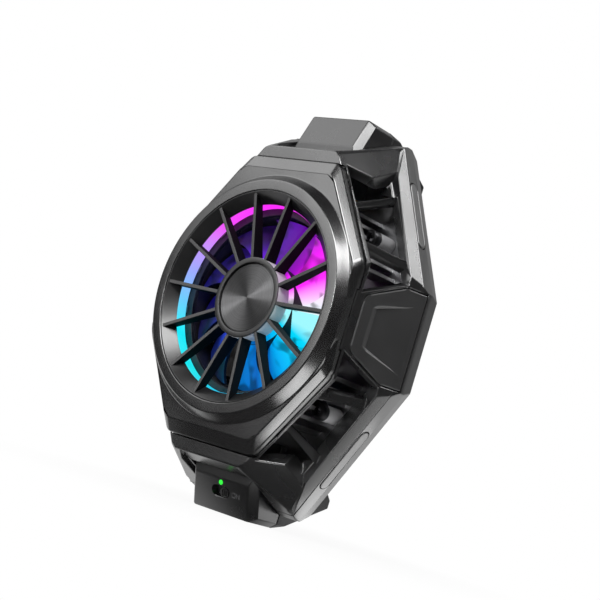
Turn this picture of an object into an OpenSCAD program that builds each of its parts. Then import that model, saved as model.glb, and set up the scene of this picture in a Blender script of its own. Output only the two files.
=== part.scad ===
// Clip-on cooling fan for a phone: a lit axial fan over a thermoelectric cold plate, held by a
// fixed lower jaw and a sprung upper jaw. Sizes are in millimetres. +Z is up and the fan faces -Y.
// The origin is the centre of the contact face that lies against the phone.

/* [Clamp] */
// Distance from the body's top or bottom end in to the gripping face there
grip_in = 6.9; // [6.4:0.1:7.4]
// How far the upper jaw slides out
jaw_travel = 21; // [10:1:22]
// Width across each jaw
jaw_w = 19; // [18:0.5:20]
// Distance from a gripping face to the outer end of its jaw
jaw_end = 10; // [9:0.5:12]
// Height of a jaw's front face above the contact face
jaw_front = 14; // [13:0.25:15]
// How far the raked front face of a jaw falls back to its end
jaw_rake = 2.5; // [1:0.25:3]
// Bevel down both sides of a jaw's front face
jaw_bevel = 1.6; // [0.8:0.1:2]
// How far the outer corners of a jaw's end are cut back
jaw_corner = 1.1; // [0.4:0.1:1.4]
// Wall of the hollow lower jaw
jaw_wall = 1.6; // [1.2:0.1:2]
// Reach of each hook past the contact face
hook_reach = 10.2; // [8:0.2:12]
// Blunt tip of each hook
hook_tip = 1.8; // [1.2:0.2:2.6]
// Radius of the two rods that carry the upper jaw
rod_r = 1.25; // [1:0.05:1.4]
// Distance between the two rods
rod_gap = 14; // [13:0.5:14.5]
// Wire diameter of the return springs
spring_wire = 0.5; // [0.4:0.05:0.55]
// Number of turns in each return spring
spring_turns = 18; // [14:1:20]

/* [Body] */
// Width of the rear cover
body_w = 62.4; // [60:0.4:64]
// Height of the rear cover
body_h = 80.6; // [80:0.5:84]
// Length of the rear cover's top and bottom edges
body_top = 29.9; // [29:0.5:32]
// Length of the rear cover's side edges
body_side = 20.6; // [19:0.5:22]
// Width of the housing at its front
front_w = 52; // [51.6:0.2:52.6]
// Height of the housing at its front
front_h = 66.6; // [66:0.2:68]
// Length of the housing's top and bottom edges at its front
front_top = 20.4; // [19.6:0.2:21.4]
// Length of the housing's side edges at its front
front_side = 22.4; // [21.6:0.2:23]
// Wall of the housing
wall = 2.2; // [1.8:0.1:2.6]
// Depth of the rear cover
cover_d = 5.5; // [5.2:0.1:5.8]
// Depth of the rear cover up to its widest line
girth_d = 3.8; // [3.5:0.1:4.2]
// Depth of the sloped edge round the rear cover's back
cover_edge = 2.4; // [2:0.1:2.6]
// Thickness of the rear cover's back plate
cover_plate = 1.6; // [1.2:0.1:1.8]
// How far the contact face stands behind the rear cover
contact_proud = 1.3; // [0.8:0.1:1.6]
// Width of the sloped band behind the vents
band_w = 3; // [2.6:0.1:3.6]
// Inward slope of that band, in mm per mm of depth
band_slope = 0.16; // [0.12:0.02:0.2]
// Inward slope of the facets in front of the band
facet_slope = 0.62; // [0.58:0.02:0.66]
// Width of a strut across a vent
strut_w = 1.2; // [0.9:0.1:1.6]
// Depth of a strut into its vent
strut_d = 2.6; // [2.5:0.1:2.9]
// Distance from the bezel's face back to the housing's front
lip_d = 2.2; // [1.9:0.1:2.4]
// Thickness of the side panels
panel_t = 1.2; // [0.9:0.1:1.3]
// Depth of the sunken surround of each jaw's opening
surround_d = 1.1; // [0.6:0.1:1.4]
// How much wider than its jaw the surround is
surround_over = 2.2; // [1.8:0.1:2.6]
// How much narrower than its jaw the surround's front edge is
surround_under = 2.4; // [2:0.1:3]
// Depth of the wedge-shaped recess in each side panel
panel_recess = 0.7; // [0.3:0.1:0.8]

/* [Front] */
// Inner radius of the raised ring
ring_r = 22.5; // [22:0.1:22.6]
// Width of the ring's flat front
ring_w = 2.2; // [1.6:0.1:2.6]
// Height of the ring above the bezel
ring_h = 2.1; // [1.4:0.1:2.6]
// Width of the sloped flare round the ring's foot
ring_flare = 1.6; // [0.8:0.1:2]
// Width of the bezel
bezel_w = 52; // [51.8:0.2:54]
// Height of the bezel
bezel_h = 61; // [60:0.5:62]
// Length of the bezel's top and bottom edges
bezel_top = 25; // [24:0.5:26]
// Length of the bezel's side edges
bezel_side = 22.8; // [22:0.4:24]
// Depth of the bezel from its front face
bezel_d = 3.5; // [3.2:0.1:3.8]
// Depth of the chamfer round the bezel's front face
bezel_chamfer = 1.4; // [1:0.05:1.5]
// Number of spokes in the grille
spoke_count = 14; // [10:1:18]
// Thickness of a spoke
spoke_t = 1.1; // [0.8:0.1:1.4]
// Radius of the grille's hub
hub_r = 8.5; // [8:0.1:9]
// Width of the rim round the hub cap
hub_rim = 1.1; // [0.8:0.1:1.4]
// Height of the light ring
light_h = 2.5; // [2:0.1:3]
// Thickness of the light ring
light_t = 1.4; // [1:0.1:1.6]
// Number of lamps on the light board
led_count = 14; // [8:1:16]

/* [Fan] */
// Width of the conical wall between the ring and the light ring
funnel_w = 2.5; // [2.3:0.1:3]
// Wall of the fan's duct
duct_t = 1; // [0.8:0.1:1.2]
// Depth of the fan's duct
duct_d = 5.3; // [5:0.1:6]
// Thickness of the motor base
base_t = 1; // [0.8:0.1:1.2]
// Gap between the blade tips and the duct
tip_gap = 0.5; // [0.3:0.05:0.8]
// Number of fan blades
blade_count = 9; // [7:1:11]
// Pitch of the fan blades in degrees
blade_pitch = 40; // [32:1:46]
// Thickness of a blade
blade_t = 0.8; // [0.6:0.05:1]
// Radius of the rotor's hub
rotor_r = 8.8; // [8.4:0.1:9.4]
// Radius of the rotor shaft
shaft_r = 1; // [0.8:0.05:1.1]

/* [Cooling stack] */
// Thickness of the contact pad
pad_t = 0.5; // [0.3:0.1:0.8]
// Thickness of the cold plate
cold_t = 2; // [1.6:0.1:2.4]
// Width of the foam gasket's band round the module
gasket_w = 3.2; // [2.6:0.1:4]
// Thickness of the thermoelectric module
module_t = 3.2; // [2.8:0.1:3.6]
// Width and height of the thermoelectric module
module_w = 30; // [28:0.5:31]
// Thickness of the heatsink's base
sink_t = 1.6; // [1.2:0.1:2]
// Thickness of a heatsink fin
fin_t = 0.8; // [0.6:0.05:1]
// Depth of the bay for the jaw's rods and springs
bay_d = 4.6; // [4.4:0.1:5]

/* [Switch and socket] */
// Length of the switch slot
slot_l = 5.2; // [4.6:0.1:5.6]
// Width of the switch slot
slot_w = 2.2; // [1.8:0.1:2.4]
// Travel of the switch
switch_travel = 2.5; // [1.6:0.1:2.5]
// Width of the charging socket
socket_w = 8.94; // [8.6:0.02:9.1]
// Height of the charging socket
socket_h = 3.16; // [3:0.02:3.2]

/* [Hidden] */
$fn = 96;
// Clearances: fixed pieces, moving pieces, a running shaft and a visible seam
fit = 0.05;
slide_gap = 0.3;
running = 0.03;
seam = 0.2;
// Margin by which a cut runs past the face it opens
past = 1;

// Heights of the stack above the contact face
h_cold = pad_t;
gasket_out = module_w + 2 * (slide_gap + gasket_w);
cold_w = gasket_out + 1;
h_module = h_cold + cold_t;
h_sink = h_module + module_t;
h_bay = h_sink + sink_t;
h_fan = h_bay + bay_d;
h_duct = h_fan + base_t;
h_board = h_duct + duct_d;
board_t = 0.8;
led_h = 0.5;
h_led = h_board + board_t;
h_light = h_led + led_h;
h_hoop = h_light + light_h;
h_face = h_hoop + 0.5;
h_ring = h_face + ring_h;
h_bezel = h_face - bezel_d;
h_lip = h_face - lip_d;
h_cover = contact_proud;
h_girth = h_cover + girth_d;
h_split = h_cover + cover_d;

// Octagons: half top edge, half width, half side edge, half height
bezel_oct = [bezel_top, bezel_w, bezel_side, bezel_h] / 2;
rear_oct = [body_top, body_w, body_side, body_h] / 2;
front_oct = [front_top, front_w, front_side, front_h] / 2;
girth_slope = (h_split - h_girth) / (h_lip - h_girth);
split_oct = inset3(rear_oct, girth_slope * (rear_oct[3] - front_oct[3]), 0,
    girth_slope * (rear_oct[1] - front_oct[1]));
bezel_wall = 1.6;
bezel_plate = 1.7;
bezel_gap = 0.15;
shoulder_t = 0.7;
shoulder_l = 12;
h_shoulder = h_lip - bezel_gap;
hoop_flange_r = ring_r + 1;
hoop_flange_t = 0.8;
rim_in = 3.6;
rim_up = 1.4;
h_roof = h_bezel - 1.4;

// Jaws
grip = body_h / 2 - grip_in;
grip_step = 0.3;
hook_nose = 1.2;
jaw_out = grip + jaw_end;
jaw_fold = grip + 3.2;
jaw_tilt = atan(jaw_rake / (jaw_out - jaw_fold));
jaw_split = h_girth - 0.9;
well_w = jaw_w + 2 * slide_gap;
well_floor = grip - 0.5;
well_front = jaw_front + 0.6;
surround_w = jaw_w + surround_over;
surround_lip = jaw_w - surround_under;
surround_front = h_lip - 0.6;
surround_cut = 3.5;
surround_corner = surround_front - surround_cut;

// Jaw slide
rod_x = rod_gap / 2;
rod_h = h_bay + bay_d / 2;
bush_r = rod_r + 0.7;
bush_flange = 0.8;
guide_end = well_floor - 0.4;
guide_l = 6;
guide_low = guide_end - guide_l;
guide_screw = [3, guide_low + guide_l / 2];
guide_seat = h_fan - 1;
tongue_t = 2;
spring_top = guide_low - bush_flange - 0.1;
spring_slack = 9;
spring_rest = jaw_travel + spring_turns * spring_wire + spring_slack;
spring_low = spring_top - spring_rest;
spring_r = rod_r + spring_wire / 2 + 0.2;
clip_t = 0.8;
rod_low = spring_low - clip_t - 0.9;
rod_seat = 7;

// Fan and lights
light_r = ring_r - funnel_w;
duct_r = light_r - 1.3;
blade_r = duct_r - tip_gap;
board_r = ring_r - 0.3;
bearing_r = shaft_r + 1;
boss_r = bearing_r + 0.85;
rotor_low = h_duct + 0.4;
rotor_top = h_board;
rotor_wall = 0.9;
magnet_t = 0.95;
pole_r = rotor_r - rotor_wall - magnet_t - 0.5;
stator_low = h_duct + 1.1;
stator_t = 2.2;
pole_w = 1.2;

// Heatsink, posts and screws
fin_in = duct_r + duct_t + 0.6;
fin_side = jaw_w / 2 + 1;
fin_top = h_roof - 0.4;
fin_first = 11.2;
fin_step = 2.2;
fin_gap = 0.7;
post_r = 1.7;
post_gap = 0.8;
post_angle = 43;
post_wall = inset(body_at(h_split + band_w), wall + post_gap + post_r);
post_out = post_wall[1] * diagonal(post_wall)[0] + post_wall[2] * diagonal(post_wall)[1];
sink_end = well_floor - 0.4;
screw_r = 0.9;
head_r = 1.7;
head_h = 0.9;
boss_off = 3;
boss_in = 4.9;
boss_x = well_w / 2 + boss_off;
boss_y = body_h / 2 - boss_in;
cover_boss_r = 1.8;
cover_thread = 3.2;
cover_screw_l = cover_plate + cover_thread;
cover_screw_tip = h_cover + head_h + cover_screw_l;
corner_r = 3;

// Side panels: front and rear height, and half lengths there
panel_front = h_bezel - 0.8;
panel_front_l = 5.6;
panel_rear_l = 9.9;
panel_round = 1.8;
recess_edge = 2.4;
recess_front_l = 4;
recess_fall = 1.3;
recess_rear = h_girth + 1.3;
recess_rear_l = 7;

// Switch frame: distances down the lower jaw's front face
lamp_down = 0.8;
slot_down = 2.7;
knob_l = slot_l - switch_travel - 0.3;
knob_w = slot_w - 0.3;
lamp_r = 0.5;
circuit_t = 0.8;
circuit_l = 5.8;
circuit_deep = 3.4;
circuit_gap = 0.4;
socket_l = 7.2;
h_socket = jaw_split + 0.15 + socket_h / 2;

// The pieces are drawn on the bench, lying on the contact face: x right, y up, z to the front
module stand() {
    rotate([90, 0, 0]) children();
}

function between(p, q, t) = p + (q - p) * t;

function octagon(o) = [
    [o[0], o[3]], [o[1], o[2]], [o[1], -o[2]], [o[0], -o[3]],
    [-o[0], -o[3]], [-o[1], -o[2]], [-o[1], o[2]], [-o[0], o[3]]
];

// Outward normal of an octagon's diagonal side
function diagonal(o) = [o[3] - o[2], o[1] - o[0]] / norm([o[3] - o[2], o[1] - o[0]]);

// Octagon whose top, diagonal and side edges move inwards by their own amounts
function inset3(o, top, diag, side) =
    let (n = diagonal(o), reach = n[0] * o[0] + n[1] * o[3] - diag, b = o[1] - side, d = o[3] - top)
    [(reach - n[1] * d) / n[0], b, (reach - n[0] * b) / n[1], d];

function inset(o, w) = inset3(o, w, w, w);

// Outline of the tapered housing at a height
function body_at(h) = between(split_oct, front_oct, (h - h_split) / (h_lip - h_split));

// Point on the housing's diagonal side, t from the side edge (0) to the top edge (1)
function on_diagonal(o, t) = between([o[1], o[2]], [o[0], o[3]], t);

// Solid between two outlines of as many points, both listed clockwise from the front
module loft(low, h0, high, h1) {
    n = len(low);
    polyhedron(
        points = concat([for (p = low) [p[0], p[1], h0]], [for (p = high) [p[0], p[1], h1]]),
        faces = concat(
            [[for (i = [n - 1:-1:0]) i]],
            [[for (i = [0:n - 1]) n + i]],
            [for (i = [0:n - 1]) [i, (i + 1) % n, n + (i + 1) % n]],
            [for (i = [0:n - 1]) [i, n + (i + 1) % n, n + i]]
        )
    );
}

module prism(o, h0, h1) {
    translate([0, 0, h0]) linear_extrude(h1 - h0) polygon(octagon(o));
}

// Tapered body, with its sides moved inwards by w
module taper(w, h0, h1) {
    loft(octagon(inset(body_at(h0), w)), h0, octagon(inset(body_at(h1), w)), h1);
}

// Profile given in y and z, drawn across the width w
module across(w, profile) {
    translate([-w / 2, 0, 0]) rotate([90, 0, 90]) linear_extrude(w) polygon(profile);
}

module tube(r_in, r_out, h0, h1) {
    translate([0, 0, h0]) linear_extrude(h1 - h0) difference() {
        circle(r_out);
        circle(r_in);
    }
}

module disc(r, h0, h1) {
    translate([0, 0, h0]) cylinder(r = r, h = h1 - h0);
}

// Round bar or hole that runs up, along y
module upright(r, x, h, y0, y1) {
    translate([x, y0, h]) rotate([-90, 0, 0]) cylinder(r = r, h = y1 - y0);
}

module block(x0, x1, y0, y1, h0, h1) {
    translate([x0, y0, h0]) cube([x1 - x0, y1 - y0, h1 - h0]);
}

// Square with rounded corners
module slab(w, r, h0, h1) {
    translate([0, 0, h0]) linear_extrude(h1 - h0) {
        square([w, w - 2 * r], center = true);
        square([w - 2 * r, w], center = true);
        for (x = [-1, 1], y = [-1, 1]) translate([x, y] * (w / 2 - r)) circle(r);
    }
}

module obround(l, w) {
    square([l - w, w], center = true);
    for (x = [-1, 1]) translate([x * (l - w) / 2, 0]) circle(w / 2);
}

module quarters() {
    for (x = [0, 1], y = [0, 1]) mirror([x, 0, 0]) mirror([0, y, 0]) children();
}

module both_sides() {
    for (x = [0, 1]) mirror([x, 0, 0]) children();
}

module screw(length) {
    disc(head_r, 0, head_h);
    disc(screw_r, -length, head_h / 2);
}

// Front
module front_bezel() {
    r_out = ring_r + ring_w;
    face = inset3(bezel_oct, 1.9 * bezel_chamfer, 0.95 * bezel_chamfer, 0.55 * bezel_chamfer);
    color("#2c2d30") stand() difference() {
        union() {
            prism(bezel_oct, h_bezel, h_face - bezel_chamfer);
            loft(octagon(bezel_oct), h_face - bezel_chamfer, octagon(face), h_face);
            intersection() {
                rotate_extrude() polygon([
                    [ring_r - past, h_face - bezel_chamfer], [ring_r - past, h_ring], [r_out, h_ring],
                    [r_out + ring_flare, h_face], [r_out + ring_flare, h_face - bezel_chamfer]
                ]);
                prism(bezel_oct, h_bezel, h_ring + past);
            }
        }
        disc(ring_r, h_bezel - past, h_ring + past);
        disc(hoop_flange_r, h_bezel - past, h_hoop);
        prism(inset(bezel_oct, bezel_wall), h_bezel - past, h_face - bezel_plate);
        both_sides() shoulder(bezel_gap, h_bezel - past);
    }
}

// Shoulder of the housing that stands in a notch in the bezel's side wall, grown all round by g
module shoulder(g, h0) {
    block(bezel_w / 2 - shoulder_t - g, body_w, -shoulder_l / 2 - g, shoulder_l / 2 + g, h0, h_shoulder + g);
}

module front_grille() {
    hoop_top = h_ring - 0.15;
    hub_top = h_face + 0.4;
    hub_low = h_light - 0.2;
    seat = light_r + light_t + fit;
    color("#3a3b3e") stand() {
        rotate_extrude() polygon([
            [light_r, h_hoop], [ring_r - 0.25, hoop_top], [ring_r - fit, hoop_top],
            [ring_r - fit, h_hoop], [hoop_flange_r - fit, h_hoop],
            [hoop_flange_r - fit, h_hoop - hoop_flange_t], [seat, h_hoop - hoop_flange_t], [seat, h_hoop]
        ]);
        difference() {
            union() {
                disc(hub_r, hub_low, hub_top);
                for (i = [0:spoke_count - 1]) rotate(i * 360 / spoke_count)
                    translate([0, spoke_t / 2, 0]) rotate([90, 0, 0]) linear_extrude(spoke_t) polygon([
                        [hub_r - 1, hub_top], [ring_r - 0.3, hoop_top - 0.1],
                        [light_r + 0.4, h_hoop], [light_r, h_hoop], [hub_r - 1, hub_low]
                    ]);
            }
            disc(hub_r - hub_rim, hub_top - 1.2, hub_top + past);
        }
    }
}

module hub_cap() {
    cap_r = hub_r - hub_rim - fit;
    cap_low = h_face - 0.8;
    color("#55565a") stand() rotate_extrude() polygon([
        [0, cap_low], [cap_r, cap_low], [cap_r, h_face - 0.2], [cap_r - 0.3, h_face],
        [cap_r * 0.35, h_face], [cap_r * 0.25, h_face - 0.15], [0, h_face - 0.15]
    ]);
}

module light_ring() {
    color("#c86bff") stand() tube(light_r, light_r + light_t, h_light, h_hoop);
}

module led_board() {
    color("#1f3b2a") stand() tube(duct_r + fit, board_r, h_board, h_led);
}

module leds() {
    color("#f2f2e6") stand() for (i = [0:led_count - 1]) rotate((i + 0.5) * 360 / led_count)
        translate([light_r + light_t / 2, 0, h_led + led_h / 2]) cube([1.2, 1.6, led_h], center = true);
}

// Fan
module fan_frame() {
    arm_w = 2 * post_r;
    spider_w = 2;
    color("#4a5060") stand() difference() {
        union() {
            tube(duct_r, duct_r + duct_t, h_fan, h_board);
            disc(rotor_r - 0.4, h_fan, h_duct);
            disc(boss_r, h_fan, stator_low + stator_t + 0.6);
            for (a = [90, 210, 330]) rotate(a)
                block(rotor_r - 1, duct_r + duct_t / 2, -spider_w / 2, spider_w / 2, h_fan, h_duct);
            quarters() rotate(post_angle) {
                block(duct_r + duct_t / 2, post_out, -arm_w / 2, arm_w / 2, h_fan, h_duct);
                translate([post_out, 0, 0]) disc(arm_w / 2, h_fan, h_duct);
            }
        }
        disc(bearing_r + fit, h_fan + base_t / 2, h_board);
        quarters() rotate(post_angle) translate([post_out, 0, 0])
            disc(screw_r + fit, h_fan - past, h_duct + past);
    }
}

module fan_screws() {
    color("#b9bcc0") stand() quarters() rotate(post_angle) translate([post_out, 0, h_duct])
        screw(h_duct - h_sink);
}

module rotor() {
    chord = (rotor_top - rotor_low - 0.3) / sin(blade_pitch);
    mid = (rotor_low + rotor_top) / 2;
    color("#7d8cff") stand() difference() {
        union() {
            disc(rotor_r, rotor_low, rotor_top);
            intersection() {
                for (i = [0:blade_count - 1]) rotate(i * 360 / blade_count)
                    translate([rotor_r - 0.5, 0, mid]) rotate([blade_pitch, 0, 0])
                    translate([0, -chord / 2, -blade_t / 2]) cube([duct_r - rotor_r + 0.5, chord, blade_t]);
                disc(blade_r, rotor_low, rotor_top);
            }
        }
        disc(rotor_r - rotor_wall, rotor_low - past, rotor_top - 1);
        disc(shaft_r + fit / 2, rotor_low, rotor_top - 0.3);
    }
}

module rotor_magnet() {
    r_out = rotor_r - rotor_wall - fit;
    color("#33302e") stand() tube(r_out - magnet_t, r_out, rotor_low + 0.2, rotor_top - 1);
}

module rotor_shaft() {
    color("#c9ccd0") stand() disc(shaft_r, h_fan + base_t / 2 + 0.1, rotor_top - 0.3);
}

module motor_bearing() {
    color("#a8842c") stand() tube(shaft_r + running, bearing_r, h_fan + base_t / 2, stator_low + stator_t);
}

module stator_core() {
    color("#6b6e73") stand() difference() {
        union() {
            disc(boss_r + 1.2, stator_low, stator_low + stator_t);
            intersection() {
                for (i = [0:2]) rotate(i * 60)
                    block(-pole_r, pole_r, -pole_w / 2, pole_w / 2, stator_low, stator_low + stator_t);
                disc(pole_r, stator_low, stator_low + stator_t);
            }
        }
        disc(boss_r + fit, stator_low - past, stator_low + stator_t + past);
    }
}

module stator_coils() {
    coil_in = boss_r + 1.25;
    coil_out = pole_r - 0.3;
    turn = 0.45;
    side = pole_w / 2 + turn;
    color("#b4632d") stand() for (i = [0:5]) rotate(i * 60) difference() {
        block(coil_in, coil_out, -side, side, stator_low - turn, stator_low + stator_t + turn);
        block(coil_in - past, coil_out + past, turn - side, side - turn, stator_low, stator_low + stator_t);
    }
}

// Cooling stack
module heatsink() {
    fin_low = h_bay - sink_t / 3;
    notch = post_r + 2 * slide_gap;
    color("#8e9196") stand() difference() {
        union() {
            intersection() {
                prism(inset(body_at(h_bay), wall + 2 * slide_gap), h_sink, h_bay);
                block(-body_w, body_w, -sink_end, sink_end, h_sink, h_bay);
            }
            quarters() intersection() {
                difference() {
                    for (k = [0:5]) let (y = fin_first + k * fin_step)
                        block(fin_side, body_w / 2, y - fin_t / 2, y + fin_t / 2, fin_low, fin_top);
                    disc(fin_in, fin_low - past, fin_top + past);
                    rotate(post_angle)
                        block(0, body_w, -notch, notch, h_bay, h_duct + head_h + slide_gap);
                }
                prism(inset(body_at(fin_top), wall + fin_gap), fin_low, fin_top);
            }
        }
        quarters() rotate(post_angle) translate([post_out, 0, 0])
            disc(screw_r + fit, h_sink - past, h_bay + past);
        quarters() translate(guide_screw) disc(screw_r + fit, h_sink - past, h_bay + past);
        quarters() translate([boss_x, boss_y, 0])
            disc(cover_boss_r + slide_gap, h_sink - past, h_bay + past);
    }
}

module standoffs() {
    color("#c4c7cb") stand() quarters() rotate(post_angle) translate([post_out, 0, 0])
        tube(screw_r + fit, post_r, h_bay, h_fan);
}

module peltier_module() {
    ceramic = 0.7;
    color("#e9e9e4") stand() {
        slab(module_w, 0.5, h_module, h_module + ceramic);
        slab(module_w - 2, 0.5, h_module, h_sink);
        slab(module_w, 0.5, h_sink - ceramic, h_sink);
    }
}

module foam_gasket() {
    color("#1c1c1d") stand() difference() {
        slab(gasket_out, corner_r, h_module, h_sink);
        slab(module_w + 2 * slide_gap, 0.8, h_module - past, h_sink + past);
    }
}

module cold_plate() {
    color("#d2d4d6") stand() slab(cold_w, corner_r, h_cold, h_module);
}

module contact_pad() {
    color("#9aa0a6") stand() slab(gasket_out, corner_r - 0.5, 0, h_cold);
}

// Body
module vent() {
    lower_front = shoulder_l / 2;
    lower_rear = 10.6;
    deep = 6;
    lean = 4.4;
    h_rear = h_split + band_w;
    h_front = h_bezel + 0.1;
    front = body_at(h_front);
    rear = body_at(h_rear);
    top_front = on_diagonal(front, 0.87);
    top_rear = on_diagonal(rear, 0.775);
    n = diagonal(front);
    sill = n * deep + [-n[1], n[0]] * lean;
    loft(
        [top_rear + sill, [rear[1] + deep, lower_rear], [rear[1] - deep, lower_rear], top_rear - sill],
        h_rear,
        [top_front + n * deep, [front[1] + deep, lower_front], [front[1] - deep, lower_front],
            top_front - n * deep],
        h_front
    );
}

// Foot of a strut, whose outer face falls back by half its width
function strut_foot(o, t, w) =
    let (p = on_diagonal(o, t), n = diagonal(o), e = [-n[1], n[0]] * w / 2)
    [p + e, p - e - n * w / 2, p - e - n * strut_d, p + e - n * strut_d];

module strut(t_front, t_rear) {
    h_rear = h_split + band_w - 0.3;
    h_front = h_bezel;
    loft(strut_foot(body_at(h_rear), t_rear, 1.3 * strut_w), h_rear,
        strut_foot(body_at(h_front), t_front, strut_w), h_front);
}

// Web in the upper corner of a vent, behind its longer strut
module vent_web() {
    h_rear = h_split + band_w;
    o = body_at(h_rear);
    n = diagonal(o);
    translate([0, 0, h_rear - 1.2]) linear_extrude(1.4) polygon([
        on_diagonal(o, 0.8) - n * 0.9, on_diagonal(o, 0.62) - n * 0.9, on_diagonal(o, 0.7) - n * 3.9
    ]);
}

module jaw_well() {
    block(-well_w / 2, well_w / 2, well_floor, body_h, -past, well_front);
}

// Shallow surround of a jaw's opening, sunk into the sloped end of the housing
module jaw_surround() {
    difference() {
        translate([0, body_h, 0]) rotate([90, 0, 0]) linear_extrude(body_h - well_floor) polygon([
            [-surround_lip / 2, surround_front], [surround_lip / 2, surround_front],
            [surround_w / 2, surround_corner], [surround_w / 2, h_girth],
            [-surround_w / 2, h_girth], [-surround_w / 2, surround_corner]
        ]);
        taper(surround_d, h_girth - past, h_lip + past);
    }
}

// Outline of a side panel in y and z, grown all round by g
module panel_outline(g) {
    knee = h_split + band_w;
    offset(r = panel_round + g) offset(delta = -panel_round) polygon([
        [panel_front_l, panel_front], [-panel_front_l, panel_front], [-panel_rear_l, knee],
        [-panel_rear_l, h_girth], [panel_rear_l, h_girth], [panel_rear_l, knee]
    ]);
    translate([-panel_rear_l - g, h_girth - g]) square([2 * (panel_rear_l + g), panel_round + g]);
}

// Space of a side panel, reaching from depth t out past the side
module panel_space(g, t) {
    difference() {
        rotate([90, 0, 90]) linear_extrude(body_w / 2 + past) panel_outline(g);
        taper(t, h_girth - past, h_lip);
    }
}

// Outside of the housing: on each diagonal a steep band at the rear and a flatter facet in front
module body_form() {
    rise = h_lip - h_split;
    top = split_oct[3] - front_oct[3];
    side = split_oct[1] - front_oct[1];
    intersection() {
        loft(octagon(split_oct), h_split, octagon(inset3(split_oct, top, band_slope * rise, side)), h_lip);
        loft(octagon(inset3(front_oct, -top, -facet_slope * rise, -side)), h_split, octagon(front_oct), h_lip);
    }
}

module housing() {
    color("#2f3033") stand() {
        difference() {
            body_form();
            taper(wall, h_split - past, h_roof);
            prism(inset(bezel_oct, rim_in), h_roof - past, h_lip + past);
            prism(inset(bezel_oct, -bezel_gap), h_bezel, h_lip + past);
            quarters() vent();
            for (y = [0, 1]) mirror([0, y, 0]) {
                jaw_well();
                jaw_surround();
            }
            both_sides() panel_space(seam, panel_t + fit);
        }
        difference() {
            prism(inset(bezel_oct, bezel_wall + bezel_gap), h_roof, h_bezel + rim_up);
            prism(inset(bezel_oct, rim_in), h_roof - past, h_bezel + rim_up + past);
        }
        both_sides() intersection() {
            taper(0, h_split, h_lip);
            shoulder(0, panel_front + seam);
        }
        quarters() strut(0.2, 0.12);
        quarters() strut(0.53, 0.605);
        quarters() vent_web();
        quarters() difference() {
            translate([boss_x, boss_y, 0]) disc(cover_boss_r, h_cover + cover_plate, well_front);
            translate([boss_x, boss_y, 0]) disc(screw_r + fit, 0, cover_screw_tip + seam);
            difference() {
                block(0, body_w, 0, body_h, h_split, h_ring);
                taper(surround_d + seam, h_split - past, h_lip + past);
            }
        }
    }
}

// Section of a side panel's recess: sloping sides that leave a floor of half length l
function recess_at(h, depth, l) =
    let (x = body_at(h)[1], out = l + depth + past)
    [[x - depth, l], [x + past, out], [x + past, -out], [x - depth, -l]];

module side_panel() {
    h_end = panel_front - recess_edge;
    h_deep = h_end - recess_fall;
    deepest = recess_at(h_deep, panel_recess, recess_front_l);
    color("#38393c") stand() difference() {
        intersection() {
            panel_space(0, panel_t);
            taper(0, h_girth, h_lip);
        }
        loft(recess_at(recess_rear, 0, recess_rear_l), recess_rear, deepest, h_deep);
        loft(deepest, h_deep, recess_at(h_end, 0, recess_front_l), h_end);
    }
}

module side_panel_right() {
    side_panel();
}

module side_panel_left() {
    mirror([1, 0, 0]) side_panel();
}

// Long round-ended strip on the diagonal side of the rear cover, from depth to proud of its face
module edge_strip(l, w, depth, proud) {
    p = on_diagonal(rear_oct, 0.52);
    n = diagonal(rear_oct);
    translate([p[0], p[1], (h_split + h_cover + cover_edge) / 2]) rotate(atan2(n[1], n[0]))
        translate([-depth, 0, 0]) rotate([90, 0, 90]) linear_extrude(depth + proud) obround(l, w);
}

strip_l = 15;
strip_w = 2.2;
strip_d = 1;

module rear_cover() {
    back = inset3(rear_oct, 0.7 * cover_edge, 0.27 * cover_edge, 0.12 * cover_edge);
    color("#1d1e20") stand() difference() {
        union() {
            loft(octagon(back), h_cover, octagon(rear_oct), h_cover + cover_edge);
            prism(rear_oct, h_cover + cover_edge, h_girth);
            loft(octagon(rear_oct), h_girth, octagon(split_oct), h_split);
        }
        prism(inset(rear_oct, wall), h_cover + cover_plate, h_split + past);
        slab(cold_w + 2 * slide_gap, corner_r, h_cover - past, h_split + past);
        for (y = [0, 1]) mirror([0, y, 0]) {
            jaw_well();
            jaw_surround();
        }
        both_sides() panel_space(seam, panel_t + fit);
        quarters() edge_strip(strip_l + 2 * seam, strip_w + 2 * seam, strip_d, past);
        quarters() translate([boss_x, boss_y, 0]) {
            disc(screw_r + 0.1, h_cover - past, h_split);
            disc(head_r + 0.1, h_cover - past, h_cover + head_h);
        }
    }
}

module cover_screws() {
    color("#8a8d91") stand() quarters() translate([boss_x, boss_y, h_cover + head_h]) mirror([0, 0, 1])
        screw(cover_screw_l);
}

module corner_pad(left, low) {
    color("#6a6c70") stand() mirror([left, 0, 0]) mirror([0, low, 0])
        edge_strip(strip_l, strip_w, strip_d - fit, 0.15);
}

module corner_pad_upper_left() {
    corner_pad(1, 0);
}

module corner_pad_upper_right() {
    corner_pad(0, 0);
}

module corner_pad_lower_left() {
    corner_pad(1, 1);
}

module corner_pad_lower_right() {
    corner_pad(0, 1);
}

// Jaw slide
module jaw_guide() {
    color("#232427") stand() difference() {
        block(-jaw_w / 2, jaw_w / 2, guide_low, guide_end, h_bay, h_fan + 0.4);
        both_sides() upright(bush_r + fit / 2, rod_x, rod_h, guide_low - past, guide_end + past);
        both_sides() translate(guide_screw) {
            disc(screw_r + fit, h_bay - past, h_fan + past);
            disc(head_r + fit, guide_seat, h_fan + past);
        }
    }
}

module guide_screws() {
    color("#b9bcc0") stand() both_sides() translate([guide_screw[0], guide_screw[1], guide_seat])
        screw(guide_seat - h_sink);
}

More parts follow.
